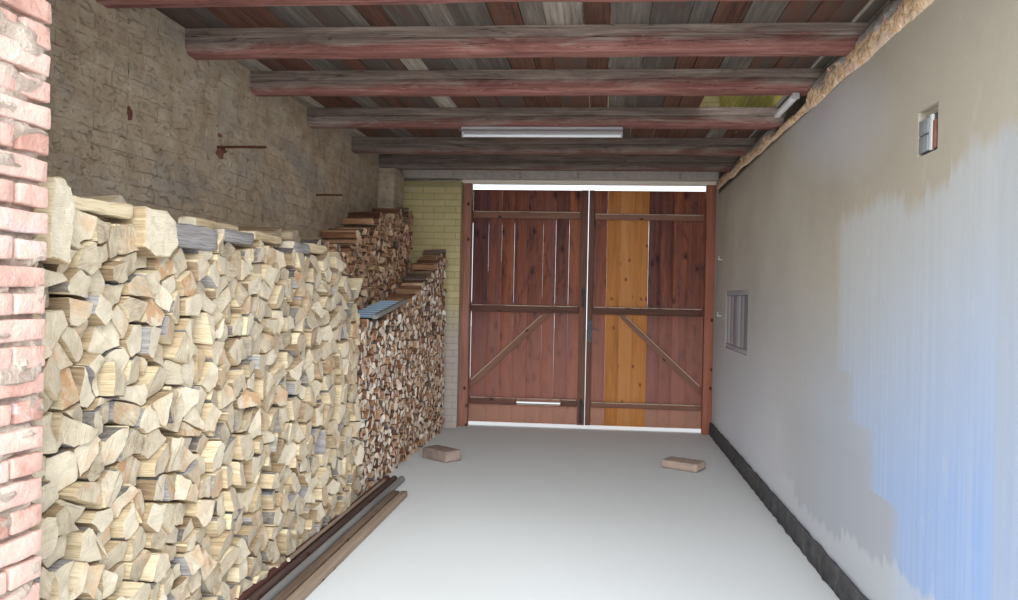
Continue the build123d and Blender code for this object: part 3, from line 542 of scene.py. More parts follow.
# Mesh building
class Piece:
    """Points and faces of one piece, with a material, a tone and places along the grain for each face."""

    def __init__(self):
        self.points, self.faces, self.slots, self.tones = [], [], [], []
        self.hues, self.marks, self.rims = [], [], []

    def add(self, points, faces, slot=0, tone=0.5, marks=None, hue=0.5, rims=None):
        """Adds faces between points. No point lies lower than a hair above the ground."""
        base = len(self.points)
        self.points += [(x, y, max(z, 0.0006)) for x, y, z in points]
        self.rims += rims or [0.0] * len(points)
        for face in faces:
            self.faces.append([base + index for index in face])
            self.slots.append(slot)
            self.tones.append(tone)
            self.hues.append(hue)
            self.marks += [marks[index] if marks else (0.0, 0.0) for index in face]

    def make(self, name, look_names, slot, stands_for=None, smooth=None, body="root"):
        """Turns the piece into an object that rides on a body, in the place of a CAD node or beside them."""
        mesh = bpy.data.meshes.new(name)
        mesh.from_pydata(self.points, [], self.faces)
        mesh.polygons.foreach_set("material_index", self.slots)
        for label, values, domain in (("tone", self.tones, "FACE"), ("hue", self.hues, "FACE"),
                                      ("rim", self.rims, "POINT")):
            mesh.attributes.new(label, "FLOAT", domain).data.foreach_set("value", values)
        flat = [part for mark in self.marks for part in mark]
        mesh.uv_layers.new(name="UVMap").data.foreach_set("uv", flat)
        work = bmesh.new()
        work.from_mesh(mesh)
        bmesh.ops.remove_doubles(work, verts=work.verts, dist=1e-6)
        bmesh.ops.recalc_face_normals(work, faces=work.faces)
        if smooth is not None:
            for face in work.faces:
                face.smooth = True
            for edge in work.edges:
                edge.smooth = edge.calc_face_angle(math.pi) < smooth
        work.to_mesh(mesh)
        work.free()
        for look in look_names.split():
            mesh.materials.append(looks[look])
        piece = bpy.data.objects.new(name, mesh)
        bpy.context.scene.collection.objects.link(piece)
        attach(piece, body)
        if stands_for:
            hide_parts(stands_for)


def strip_faces(low, high, count):
    """Faces between two rows of points, given by where each row starts."""
    return [(low + k, low + k + 1, high + k + 1, high + k) for k in range(count)]


def grid_faces(across, up):
    row = across + 1
    return [face for j in range(up) for face in strip_faces(j * row, (j + 1) * row, across)]


def tube_faces(sides, count=1):
    """Faces between rings of points that follow each other."""
    return [(k * sides + i, k * sides + (i + 1) % sides, (k + 1) * sides + (i + 1) % sides,
             (k + 1) * sides + i)
            for k in range(count) for i in range(sides)]


def disc_faces(sides, rings):
    """Faces of a disc: a middle point, then rings of points around it."""
    faces = [(0, 1 + k, 1 + (k + 1) % sides) for k in range(sides)]
    for at in range(1, 1 + (rings - 1) * sides, sides):
        faces += [(at + k, at + sides + k, at + sides + (k + 1) % sides,
                   at + (k + 1) % sides) for k in range(sides)]
    return faces


def stations(length, edge, step):
    """Places along a side: at the ends, just inside them and evenly between."""
    edge = min(edge, length * 0.3)
    inner = max(1, round((length - 2 * edge) / step))
    return [0.0] + [edge + (length - 2 * edge) * k / inner for k in range(inner + 1)] + [length]


def lump(piece, low, high, along=0, step=0.12, edge=0.004, bend=0.0, wobble=0.0015, slot=0, end_slot=None,
         tone=0.5, seed=0.0, place=None, shape=None, cross=0.2, hue=0.5):
    """A worn block, such as a beam or a brick: rounded edges, slightly uneven, grain along one axis."""
    low, high = Vector(low), Vector(high)
    size = high - low
    edge = min(edge, min(size) * 0.35)
    ticks = [stations(size[axis], edge, step if axis == along else cross) for axis in range(3)]
    shift = Vector((seed * 7.31, seed * 3.77, seed * 5.13))
    for axis in range(3):
        first, second = [other for other in range(3) if other != axis]
        beside = second if first == along else first
        for side in (0, 1):
            points, marks = [], []
            for b in ticks[second]:
                for a in ticks[first]:
                    spot = Vector()
                    spot[axis], spot[first], spot[second] = side * size[axis], a, b
                    inner = Vector([min(max(spot[k], edge), size[k] - edge) for k in range(3)])
                    out = spot - inner
                    if out.length > 0:
                        spot = inner + out.normalized() * edge
                    marks.append((spot[along] + seed * 1.7, spot[beside] + 0.37 * axis + 0.61 * side + seed))
                    spot = low + spot
                    if shape:
                        spot = shape(spot)
                    spot += noise.noise_vector(spot * 14 + shift) * wobble
                    if bend:
                        spot += noise.noise_vector(spot * 1.3 + shift) * bend
                    points.append(place @ spot if place else spot)
            used = slot if end_slot is None or axis != along else end_slot
            piece.add(points, grid_faces(len(ticks[first]) - 1, len(ticks[second]) - 1), used, tone, marks,
                      hue)


def rod(piece, start, end, radius, sides, slot=0, end_radius=None):
    """A round bar between two points."""
    start, end = Vector(start), Vector(end)
    axis = (end - start).normalized()
    side = axis.orthogonal().normalized()
    other = axis.cross(side)
    angles = [2 * math.pi * k / sides for k in range(sides)]
    rings = [centre + (side * math.cos(angle) + other * math.sin(angle)) * reach
             for centre, reach in ((start, radius), (end, end_radius or radius)) for angle in angles]
    marks = [(run, k / sides) for run in (0.0, (end - start).length) for k in range(sides)]
    piece.add(rings, tube_faces(sides), slot, 0.5, marks)
    for ring in (rings[:sides], rings[sides:]):
        piece.add(ring, [tuple(range(sides))], slot)


def bolt(piece, centre, normal, radius):
    """A domed bolt head on its washer."""
    centre, normal = Vector(centre), Vector(normal)
    washer_top = centre + normal * radius * 0.25
    rod(piece, centre, washer_top, radius * 1.5, 12)
    rod(piece, washer_top, centre + normal * radius * 0.75, radius, 10, end_radius=radius * 0.8)


# Firewood
def clip(poly, at, out):
    """The part of a polygon behind a line."""
    kept = []
    for k, point in enumerate(poly):
        before = poly[k - 1]
        side, past = [(spot[0] - at[0]) * out[0] + (spot[1] - at[1]) * out[1] for spot in (point, before)]
        if (side <= 0) != (past <= 0):
            share = past / (past - side)
            kept.append(tuple(before[i] + (point[i] - before[i]) * share for i in (0, 1)))
        if side <= 0:
            kept.append(point)
    return kept


def area(poly):
    return 0.5 * sum(poly[k - 1][0] * poly[k][1] - poly[k][0] * poly[k - 1][1] for k in range(len(poly)))


def middle(poly):
    return [sum(point[i] for point in poly) / len(poly) for i in (0, 1)]


def cells(sites, y0, y1, top):
    """The ground of each site: everything nearer to it than to any other, less half a gap."""
    span, neighbours, gap = 0.42, 21, 0.0022
    grid = {}
    for site in sites:
        grid.setdefault((int(site[0] / span), int(site[1] / span)), []).append(site)
    found = []
    for site in sites:
        poly = [(y0, 0.0), (y1, 0.0), (y1, top), (y0, top)]
        col, row = int(site[0] / span), int(site[1] / span)
        near = [other for i in (-1, 0, 1) for j in (-1, 0, 1) for other in grid.get((col + i, row + j), ())]
        near.sort(key=lambda other: (other[0] - site[0]) ** 2 + (other[1] - site[1]) ** 2)
        for other in near[1:1 + neighbours]:
            away = (other[0] - site[0], other[1] - site[1])
            share = 0.5 - gap / math.hypot(*away)
            poly = clip(poly, (site[0] + away[0] * share, site[1] + away[1] * share), away)
            if len(poly) < 3:
                break
        found.append(poly)
    return found


def chop(poly, loss):
    """Takes off small corners, so that a cell turns into a wedge or a four-sided billet."""
    poly = list(poly)
    whole = abs(area(poly))
    while len(poly) > 3:
        cuts = []
        for k in range(len(poly)):
            a, b, c = poly[k - 1], poly[k], poly[(k + 1) % len(poly)]
            cuts.append((abs((b[0] - a[0]) * (c[1] - a[1]) - (c[0] - a[0]) * (b[1] - a[1])) / 2, k))
        least, where = min(cuts)
        if least > loss * whole:
            break
        poly.pop(where)
    return poly


def billet(piece, poly, face, length, rng, tilt, fine, close=True, kind=None):
    """One split log: sawn end towards the passage, split sides, and bark on one curved side of some."""
    cy, cz = middle(poly)
    tone, hue = kind or (rng.random(), rng.random())
    round_side = rng.randrange(len(poly)) if rng.random() < 0.55 else None
    heart = poly[rng.randrange(len(poly))]
    outline, owners = [], []
    for k, point in enumerate(poly):
        after = poly[(k + 1) % len(poly)]
        run = math.hypot(after[0] - point[0], after[1] - point[1])
        normal = ((after[1] - point[1]) / run, -(after[0] - point[0]) / run)
        ease = min(0.007, 0.2 * run) / run
        parts = max(1, min(5, round(run / fine)))
        if k == round_side:
            parts = max(3, parts)
            foot, bow = -0.075 * run, 0.15 * run
        else:
            foot, bow = 0.0, rng.uniform(-0.006, 0.0025)
        for part in range(parts + 1):
            share = part / parts
            out = foot + bow * 4 * share * (1 - share) + rng.uniform(-0.0028, 0.0012)
            along = ease + (1 - 2 * ease) * share
            outline.append([point[i] + (after[i] - point[i]) * along + normal[i] * out for i in (0, 1)])
            owners.append(k)
    count = len(outline)
    steep = 2.2 if rng.random() < 0.14 else 1.0
    slant_y, slant_z = rng.gauss(0, tilt * steep), rng.gauss(0, tilt * steep)
    drift_y, drift_z = rng.uniform(-0.012, 0.012), rng.uniform(-0.012, 0.012)
    turn = rng.uniform(-0.05, 0.05)
    seed = rng.uniform(0, 50)

    def torn(y, z):
        coarse, small = [noise.noise(Vector((y * scale, z * scale, seed))) for scale in (24, 70)]
        slant = max(-0.02, min(0.02, slant_y * (y - cy) + slant_z * (z - cz)))
        return slant + (coarse * 0.0055 + small * 0.003)

    rings = []
    depths = [(0.0, 0.965), (0.005, 1.0), (0.11, 0.995)] if close else [(0.0, 0.975), (0.005, 1.0)]
    for depth, shrink in depths + [(length - 0.004, 0.97)]:
        ring = []
        share = depth / length
        for y, z in outline:
            dy, dz = (y - cy) * shrink, (z - cz) * shrink
            bump = rng.uniform(-0.0025, 0.0025) if depth > 0.01 else 0.0
            ring.append((face - depth + torn(y, z) * (1 - share),
                         cy + dy - dz * turn * share + drift_y * share + bump,
                         cz + dz + dy * turn * share + drift_z * share + bump))
        rings.append(ring)
    ends, rims = [(face + torn(cy, cz), cy, cz)], [0.0]
    levels = (0.38, 0.74) if close else (0.55,)
    for level in levels:
        for y, z in outline:
            y, z = cy + (y - cy) * level, cz + (z - cz) * level
            ends.append((face + torn(y, z), y, z))
            rims.append(level)
    ends += rings[0]
    rims += [1.0] * count
    spin = rng.uniform(0, 6.3)
    marks = []
    for x, y, z in ends:
        dy, dz = y - heart[0], z - heart[1]
        marks.append((dy * math.cos(spin) - dz * math.sin(spin), dy * math.sin(spin) + dz * math.cos(spin)))
    piece.add(ends, disc_faces(count, len(levels) + 1), 0, tone, marks, hue, rims)
    girth = [0.0]
    for k, (y, z) in enumerate(outline):
        after = outline[(k + 1) % count]
        girth.append(girth[-1] + math.hypot(after[0] - y, after[1] - z))
    side_tone = [rng.random() for _ in poly]
    side_hue = [rng.random() for _ in poly]
    for k, owner in enumerate(owners):
        after = (k + 1) % count
        bark = owner == round_side and owners[after] == round_side
        for near, far in zip(rings, rings[1:]):
            quad = [near[k], near[after], far[after], far[k]]
            runs = (girth[k], girth[k + 1], girth[k + 1], girth[k])
            marks = [(seed + spot[0], seed + run) for spot, run in zip(quad, runs)]
            piece.add(quad, [(0, 1, 2, 3)], 2 if bark else 1, side_tone[owner], marks, side_hue[owner])
    marks = [(y - heart[0], z - heart[1]) for y, z in outline]
    piece.add(rings[-1], [tuple(range(count))], 0, tone, marks, hue)


def stack(row, slot, look_names, profile, depth, pitch, seed, reach, fine, loss=0.10, margin=0.02,
          close=True,
          past_end=0.0, lean=0.0, set_back=0.0, extra=None):
    """A row of billets in the place of its CAD solid. profile holds places along it and heights there."""
    rng = random.Random(seed)
    low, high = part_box(row + "_row")
    y0, y1 = low[1] + 0.002, high[1] + past_end
    whole = pitch[0] * pitch[1]

    def top(y):
        for (a, low_z), (b, high_z) in zip(profile, profile[1:]):
            if y - low[1] <= b:
                return low_z + (high_z - low_z) * max(0.0, y - low[1] - a) / max(b - a, 0.001)
        return profile[-1][1]

    sites, z = [], 0.0
    highest = max(top(y0 + (y1 - y0) * k / 40) for k in range(41))
    while z < highest + 0.15:
        rise = pitch[1] * rng.uniform(0.75, 1.3)
        y = y0 + rng.uniform(0, pitch[0])
        while y < y1:
            run = pitch[0] * rng.uniform(0.55, 1.5)
            sites.append((y, z + rise * 0.5 + rng.gauss(0, rise * 0.30)))
            y += run
        z += rise
    sites = [site for site in sites if site[1] > 0.015]
    piece = Piece()
    for poly in cells(sites, y0, y1, highest + 0.3):
        if len(poly) < 3 or area(poly) < 0.14 * whole:
            continue
        mid_y, mid_z = middle(poly)
        limit = top(min(max(mid_y, y0), y1))
        if mid_z > limit - margin:
            continue
        peak = max(point[1] for point in poly)
        lift = peak - limit - 0.012
        if lift > 0:
            poly = clip(poly, (0, peak - lift), (rng.uniform(-0.3, 0.3), 1))
        parts = [poly]
        if area(poly) > 1.35 * whole and len(poly) > 3:
            k = rng.randrange(len(poly))
            a, b = poly[k], poly[(k + len(poly) // 2) % len(poly)]
            y, z = (a[0] + b[0]) / 2 + 0.01, (a[1] + b[1]) / 2
            norm = math.hypot(b[1] - a[1], a[0] - b[0])
            out_y, out_z = (b[1] - a[1]) / norm, (a[0] - b[0]) / norm
            parts = [clip(poly, (y + way * out_y * 0.002, z + way * out_z * 0.002),
                          (-way * out_y, -way * out_z))
                     for way in (-1, 1)]
        for part in parts:
            if len(part) < 3 or abs(area(part)) < 0.10 * whole:
                continue
            back = min(abs(rng.gauss(0, reach)), 2.2 * reach)
            face = high[0] - lean * mid_z / 1.86 - set_back
            billet(piece, chop(part, loss), face - 0.004 - back, depth - back - 0.008, rng, 0.14, fine,
                   close)
    if extra:
        extra(piece, rng)
    piece.make(row + "_billets", look_names, slot, row + "_row", 0.5)


def near_top_pieces(piece, rng):
    """A half-round log on end at the near corner and long billets laid along the top."""
    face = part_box("near_front_row")[1][0]
    log = ((-3.185, 1.62), (-3.090, 1.60), (-3.072, 1.73), (-3.082, 1.852), (-3.120, 1.882), (-3.165, 1.878))
    block = ((-2.665, 1.69), (-2.60, 1.655), (-2.50, 1.66), (-2.445, 1.71), (-2.452, 1.80), (-2.52, 1.846),
             (-2.655, 1.846))
    billet(piece, log, face - 0.012, 0.24, rng, 0.03, 0.03, kind=(0.95, 0.3))
    billet(piece, block, face - 0.018, 0.24, rng, 0.04, 0.03, kind=(0.85, 0.3))
    for y0, y1, z0, z1, inset, tone in ((-3.03, -2.68, 1.812, 1.842, 0.0, 0.9),
                                        (-2.43, -2.04, 1.730, 1.812, 0.0, 0.05),
                                        (-2.05, -1.62, 1.828, 1.866, 0.10, 0.75),
                                        (-1.98, -1.66, 1.785, 1.822, 0.0, 0.03),
                                        (-1.55, -1.20, 1.815, 1.848, 0.05, 0.6),
                                        (-1.16, -0.90, 1.785, 1.826, 0.0, 0.04),
                                        (-0.86, -0.56, 1.800, 1.836, 0.02, 0.8)):
        lump(piece, (face - inset - 0.15, y0, z0 - 0.02), (face - inset - 0.052, y1, z1), 1, step=0.05,
             cross=0.03,
             edge=0.012, wobble=0.008, slot=1, end_slot=0, tone=max(tone, 0.3), seed=y0,
             hue=0.5 if tone > 0.1 else tone)


stack("near_front", "pale_firewood", "pale_end pale_split pale_bark",
      ((0, 1.850), (0.23, 1.815), (1.05, 1.775), (1.5, 1.800), (2.0, 1.825), (3.11, 1.800), (3.111, 1.668),
       (3.345, 1.660)), 0.275, (0.112, 0.092), 11, 0.030, 0.035, past_end=0.03, lean=0.05,
      extra=near_top_pieces)
stack("near_back", "pale_firewood", "pale_end pale_split pale_bark",
      ((0, 1.905), (0.8, 1.905), (1.7, 1.890), (2.33, 1.940), (2.86, 1.930), (3.345, 1.940)), 0.325,
      (0.15, 0.12),
      12, 0.006, 0.09, past_end=-0.004, close=False)
stack("far_front", "brown_firewood", "tan_end brown_split brown_bark",
      ((0, 1.30), (0.46, 1.333), (0.461, 1.296), (1.48, 1.428), (1.481, 1.466), (1.55, 1.475), (2.25, 1.655),
       (3.20, 2.08), (3.25, 2.08)), 0.265, (0.066, 0.052), 13, 0.026, 0.12, 0.2, 0.0, False)
stack("far_back", "brown_firewood", "brown_end brown_split brown_bark",
      ((0, 1.90), (0.78, 1.93), (0.79, 2.00), (1.0, 2.08), (1.34, 2.10), (1.35, 2.23), (1.9, 2.33),
       (2.74, 2.48)),
      0.32, (0.072, 0.056), 14, 0.026, 0.12, 0.2, 0.0, False, set_back=0.002)

# Brickwork
half_width = 1.82
front, back = -3.7325, 3.7325
outer = 2.2
eaves = 3.3
slope = math.tan(math.radians(16.5))
wall_run = back - front
back_inner = back - 0.25
beam_low, deck_low = 2.86, 3.0
course = 0.076
east, west, north, south = (1, 0, 0), (-1, 0, 0), (0, 1, 0), (0, -1, 0)


def wall_top(x):
    return eaves + (x + outer) * slope


def brick_skin(name, look, slot, origin, along, out, length, height, seed, proud=0.004, cell=(4, 2),
               top=None,
               joint=0.011, wave=0.0, stray=0.0015, relief=0.0):
    """Brick faces laid in courses over a wall, each slightly proud, worn and uneven."""
    origin, along, up, out = Vector(origin), Vector(along), Vector((0, 0, 1)), Vector(out)
    rng = random.Random(seed)
    piece = Piece()
    nu, nv = cell
    for row in range(int((height + joint) / course)):
        v0 = row * course
        v1 = v0 + course - joint
        u = -0.13 if row % 2 else 0.0
        while u < length:
            a, b = max(u, 0.0), min(u + 0.25, length)
            u += 0.26
            limit = min(top(a), top(b)) if top else height
            if b - a < 0.03 or v0 + 0.02 > limit:
                continue
            v2 = min(v1, limit)
            us = [a + (b - a) * i / nu for i in range(nu + 1)]
            vs = [v0 + (v2 - v0) * j / nv for j in range(nv + 1)]
            tone = rng.random()
            stand = proud * rng.uniform(0.6, 1.0)
            points = []
            for j, pv in enumerate(vs):
                for i, pu in enumerate(us):
                    w = stand * (1 - 0.35 * (i in (0, nu)) - 0.35 * (j in (0, nv))) + rng.uniform(-0.0012, 0)
                    w += relief * abs(noise.noise(Vector((pu * 3.7, pv * 3.7, seed))))
                    at_u = pu + rng.uniform(-stray, stray)
                    at_v = pv + rng.uniform(-stray, stray)
                    at_v += wave * noise.noise(Vector((at_u * 0.8, seed, v0 * 0.6)))
                    points.append(origin + along * at_u + up * at_v + out * w)
            ring = list(range(nu)) + [j * (nu + 1) + nu for j in range(nv)]
            ring += [nv * (nu + 1) + i for i in range(nu, 0, -1)] + [j * (nu + 1) for j in range(nv, 0, -1)]
            feet = [origin + along * us[index % (nu + 1)] + up * vs[index // (nu + 1)] + out * -0.003
                    for index in ring]
            base, count = len(points), len(ring)
            faces = grid_faces(nu, nv)
            faces += [(ring[k], base + k, base + (k + 1) % count,
                       ring[(k + 1) % count]) for k in range(count)]
            faces.append(tuple(base + k for k in range(count)))
            piece.add(points + feet, faces, 0, tone)
    piece.make(name, look, slot)


pilaster_low, pilaster_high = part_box("left_pilaster")
brick_skin("left_wall_inner_bricks", "lime_brick", "limewash_brick", (-half_width, front + 0.38, 0), north,
           east,
           wall_run - 0.38 - 0.25, wall_top(-half_width) - 0.015, 21, proud=0.0018, joint=0.008, wave=0.022,
           stray=0.005, relief=0.010)
brick_skin("left_wall_outer_bricks", "lime_brick", "limewash_brick", (-outer, front + 0.26, 0), north, west,
           wall_run - 0.26, wall_top(-outer) - 0.01, 22, cell=(2, 1))
brick_skin("left_wall_end_bricks", "lime_brick", "limewash_brick", (-outer, back, 0), east, north, 0.38, 3.5,
           23,
           cell=(3, 1), top=lambda u: wall_top(-outer + u) - 0.01)
brick_skin("pilaster_face_bricks", "lime_brick", "limewash_brick", (pilaster_high[0], pilaster_low[1], 0),
           north,
           east, 0.38, beam_low, 24, proud=0.003)
brick_skin("pilaster_side_bricks", "lime_brick", "limewash_brick", (-half_width, pilaster_low[1], 0), east,
           south,
           0.173, beam_low, 25, proud=0.003)
brick_skin("back_wall_left_bricks", "yellow_brick", "yellow_brick", (-half_width, back_inner, 0), east,
           south,
           0.703, beam_low, 26)
brick_skin("back_wall_outer_bricks", "yellow_brick", "yellow_brick", (-half_width, back, 0), east, north,
           0.703,
           beam_low, 27, cell=(3, 1))
brick_skin("gable_inner_bricks", "yellow_brick", "yellow_brick", (-half_width, back_inner, 3.03), east,
           south,
           2 * half_width, 1.5, 28, top=lambda u: wall_top(-half_width + u) - 3.04)
brick_skin("gable_outer_bricks", "yellow_brick", "yellow_brick", (-half_width, back, 3.01), east, north,
           2 * half_width, 1.5, 29, cell=(3, 1), top=lambda u: wall_top(-half_width + u) - 3.02)
brick_skin("loft_wall_bricks", "loft_brick", "grey_render", (half_width, back_inner, 3.03), south, west,
           wall_run - 0.26, wall_top(half_width) - 3.045, 30, cell=(2, 1))

# Front pier and the end of the left wall: whole bricks with corners bonded, mortar set back
pier = Piece()
pier_x = -1.047
side_x = -outer - 0.007
rng = random.Random(31)
for row in range(46):
    z0 = course * row + 0.006
    z1 = z0 + 0.061
    in_pier = z1 < beam_low
    level_end = pier_x if in_pier else -half_width
    if z1 > wall_top(-outer) - 0.005:
        break
    if row % 2 == 0:
        edge = level_end
        spots = [(level_end - 0.12, level_end, front + 0.13, front + 0.38)] if in_pier else []
    else:
        edge = level_end - 0.13
        spots = [(level_end - 0.12, level_end, front, front + 0.25)]
        if in_pier:
            spots.append((level_end - 0.25, level_end, front + 0.26, front + 0.38))
    while edge > -outer + 0.02:
        start = max(edge - 0.25, side_x)
        spots.append((start, edge, front, front + 0.12))
        if in_pier and edge > -half_width + 0.1:
            spots.append((max(start, -half_width), edge - (0.0 if row % 2 else 0.13), front + 0.26,
                          front + 0.38))
        edge -= 0.26
    spots.append((side_x, -outer + 0.12, front + 0.13, front + 0.25))
    for x0, x1, y0, y1 in spots:
        if x1 - x0 < 0.03:
            continue
        push = rng.uniform(0, 0.006) + (0.012 if rng.random() < 0.12 else 0.0)
        if y0 == front and x0 < -half_width - 0.02:
            push -= 0.014
        turn = rng.uniform(-0.012, 0.012)
        centre = Vector(((x0 + x1) / 2, (y0 + y1) / 2, (z0 + z1) / 2))
        place = Matrix.Translation(centre) @ Matrix.Rotation(turn, 4, "Z") @ Matrix.Translation(-centre)
        lump(pier, (x0 + 0.001, y0 + push, z0),
             (x1 - rng.uniform(0, 0.004), y1 - 0.001, z1 + rng.uniform(-0.004, 0.002)), step=0.03,
             cross=0.03,
             edge=0.006, wobble=0.005, tone=rng.random(), seed=rng.uniform(0, 9), place=place)
pier.make("pier_bricks", "red_brick", "red_brick", smooth=0.9)


def crumbled(spot):
    """Mortar that bulges past the bricks in some places and lies deep in others."""
    swell = noise.noise(Vector((spot.x * 7, spot.y * 7, spot.z * 22)))
    swell += 0.5 * noise.noise(Vector((spot.x * 25, spot.y * 25, spot.z * 60)))
    swell = max(-0.026, min(0.014, 0.060 * swell - 0.012))
    if spot.y < front + 0.05:
        spot.y -= swell
    if spot.x > pier_x - 0.05:
        spot.x += swell
    return spot


core = Piece()
lump(core, (-half_width - 0.2, front + 0.008, 0), (pier_x - 0.008, front + 0.368, 2.858), 2, step=0.022,
     cross=0.03,
     wobble=0.004, edge=0.01, shape=crumbled)
lump(core, (-outer + 0.002, front + 0.010, 0), (-half_width, front + 0.02, 3.29), 2, step=0.03, cross=0.04,
     wobble=0.002, shape=crumbled)
core.make("pier_mortar", "pier_mortar", "red_brick", "front_pier", 0.9)


# Beams and deck
def waney_beam(piece, low, high, seed):
    """A roughly squared beam across the passage, with waney lower edges and a crack along its face."""
    count = max(10, round((high[0] - low[0]) / 0.09))
    width, height = high[1] - low[1], high[2] - low[2]
    crack_depth = 0.045
    section = [(0.0, 1.0), (0.0, 0.80), (0.0, 0.62), (crack_depth, 0.57), (0.0, 0.52), (0.0, 0.34),
               (0.03, 0.18),
               (0.10, 0.06), (0.22, 0.0), (0.5, 0.0), (0.78, 0.0), (0.90, 0.06), (0.97, 0.18), (1.0, 0.34),
               (1.0, 0.6), (1.0, 1.0), (0.5, 1.0)]
    girth = [0.0]
    for (a, b), (c, d) in zip(section, section[1:]):
        girth.append(girth[-1] + math.hypot((c - a) * width, (d - b) * height))
    points, marks, rims = [], [], []
    for k in range(count + 1):
        x = low[0] + (high[0] - low[0]) * k / count
        for (a, b), run in zip(section, girth):
            spot = Vector((x, low[1] + a * width, low[2] + b * height))
            sway = noise.noise_vector(Vector((x * 1.4, seed * 3.1, b * 0.8))) * 0.009
            rough = noise.noise_vector(spot * 16 + Vector((seed, 0, 0))) * 0.0035
            inward = 1 if b < 0.9 else 0.15
            if a == crack_depth:
                spot.y += 0.012 * max(0, noise.noise(Vector((x * 2.3, seed * 5.7, 0))))
                spot.z += 0.02 * noise.noise(Vector((x * 1.1, seed * 2.2, 4)))
            spot.y += (sway.y + rough.y) * inward
            if b < 0.1:
                spot.z += max(-0.001, (sway.z + rough.z) * inward)
            else:
                spot.z += (sway.z + rough.z) * (0 if b == 1 else 0.4)
            points.append(spot)
            marks.append((x + seed * 2.7, run + seed))
            rims.append(b + 0.25 * (a > 0.9))
    size = len(section)
    faces = tube_faces(size, count) + [tuple(range(size)), tuple(count * size + i for i in range(size))]
    piece.add(points, faces, 0, min(1.0, seed / 7), marks, 0.5, rims)


beams, lintel = Piece(), Piece()
beam_fronts = [front + share * wall_run for share in (0.115, 0.221, 0.328, 0.437, 0.570, 0.719, 0.837)]
for index, y in enumerate(beam_fronts):
    waney_beam(beams, (-2.0197, y, beam_low), (2.0197, y + 0.15, deck_low), index + 1.0)
beams.make("waney_beams", "old_beam", "beam_timber", "ceiling_beams", 0.8)
waney_beam(lintel, *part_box("front_lintel"), 0.6)
lintel.make("front_lintel_timber", "old_beam", "beam_timber", "front_lintel", 0.8)

deck = Piece()
rng = random.Random(41)
x = -half_width + 0.003
board_low = deck_low + 0.0005
gap_x, gap_y0, gap_y1 = 1.26, -0.3215, 0.599
joints = [front] + [y + 0.075 for y in beam_fronts] + [back_inner]
while x < half_width - 0.03:
    width = min(rng.choice((0.095, 0.12, 0.14, 0.15, 0.16, 0.18, 0.205)), half_width - 0.003 - x)
    at = 0
    while at < len(joints) - 1:
        stop = min(len(joints) - 1, at + rng.choice((2, 3, 3, 4, 5)))
        y0, y1 = joints[at] + 0.002, joints[stop] - 0.002
        runs = [(y0, y1)]
        if x + width > gap_x:
            runs = [(y0, min(y1, gap_y0)), (max(y0, gap_y1), y1)]
        for a, b in runs:
            if b - a > 0.05:
                tone = rng.choice((0.05, 0.15, 0.25, 0.3, 0.4, 0.5, 0.6, 0.7, 0.95))
                tone = 0.12 if x > 1.45 and tone > 0.4 else tone
                lump(deck, (x, a, board_low),
                     (x + width - rng.uniform(0.002, 0.007), b, board_low + rng.uniform(0.020, 0.0245)), 1,
                     step=0.35, edge=0.002, wobble=0.0012, tone=tone, seed=rng.uniform(0, 90))
        at = stop
    x += width
deck.make("deck_planks", "deck_wood", "deck_boards", "loft_deck", 0.6)


# Roof
pitch = math.atan(slope)
cosine, sine = math.cos(pitch), math.sin(pitch)


def on_slope(x, y, z):
    return Matrix.Translation((x, y, z)) @ Matrix.Rotation(-pitch, 4, "Y")


rafters, purlins, sheets, screws = Piece(), Piece(), Piece(), Piece()
length = 4.51 / cosine
step = (wall_run - 0.08) / 8
for index in range(9):
    lump(rafters, (0.035, 0.001, 0.001), (length - 0.035, 0.079, 0.119), step=0.3, edge=0.003,
         tone=0.3 + 0.05 * index,
         seed=index * 1.37, place=on_slope(-2.255, front + index * step, wall_top(-2.255)))
rafters.make("rafter_timbers", "roof_wood", "roof_timber", "roof_rafters", 0.6)
purlin_at = [-outer + index * (4.4 - 0.07) / 4 for index in range(5)]
for index, x in enumerate(purlin_at):
    lump(purlins, (0.001, front - 0.055, 0.001), (0.069, back + 0.055, 0.049), 1, step=0.3, edge=0.003,
         tone=0.35 + 0.1 * index, seed=index * 2.1 + 20, place=on_slope(x, 0, wall_top(x) + 0.12 / cosine))
purlins.make("purlin_timbers", "roof_wood", "roof_timber", "roof_purlins", 0.6)

roof_x, roof_y, roof_length = -2.31, -3.8425, 7.685
waves = 43
wave, depth = roof_length / waves, 0.051
rows, columns, count = 3, 8, 60
run = 4.62 / cosine - 0.02
base_z = wall_top(roof_x) + (0.12 + 0.05) / cosine + 0.0003
for row in range(rows):
    s0 = max(0.0, row * run / rows - 0.09) + 0.012
    s1 = (row + 1) * run / rows
    for column in range(columns):
        y0 = roof_y + column * roof_length / columns
        y1 = y0 + roof_length / columns - 0.001
        points = []
        for s in (s0, (s0 + s1) / 2, s1):
            lap = 0.006 * (1 - (s - s0) / (s1 - s0)) if row else 0
            for level in (0, 1):
                for k in range(count + 1):
                    y = y0 + (y1 - y0) * k / count
                    h = depth * 0.5 * (1 - math.cos(2 * math.pi * (y - roof_y) / wave))
                    z = lap + h + level * 0.0048 + (0.0022 if column % 2 else 0)
                    points.append((roof_x + s * cosine, y, base_z + s * sine + z))
        size = count + 1
        faces = []
        for at in (0, 2 * size):
            faces += strip_faces(at, at + 2 * size, count) + strip_faces(at + size, at + 3 * size, count)
            faces += [(k, k + size, k + 3 * size, k + 2 * size) for k in (at, at + count)]
        faces += strip_faces(0, size, count) + strip_faces(4 * size, 5 * size, count)
        sheets.add(points, faces, 0, random.Random(row * 31 + column).random())
sheets.make("roof_sheets_lapped", "roof_cement", "roof_cement", "roof_sheets", 0.9)
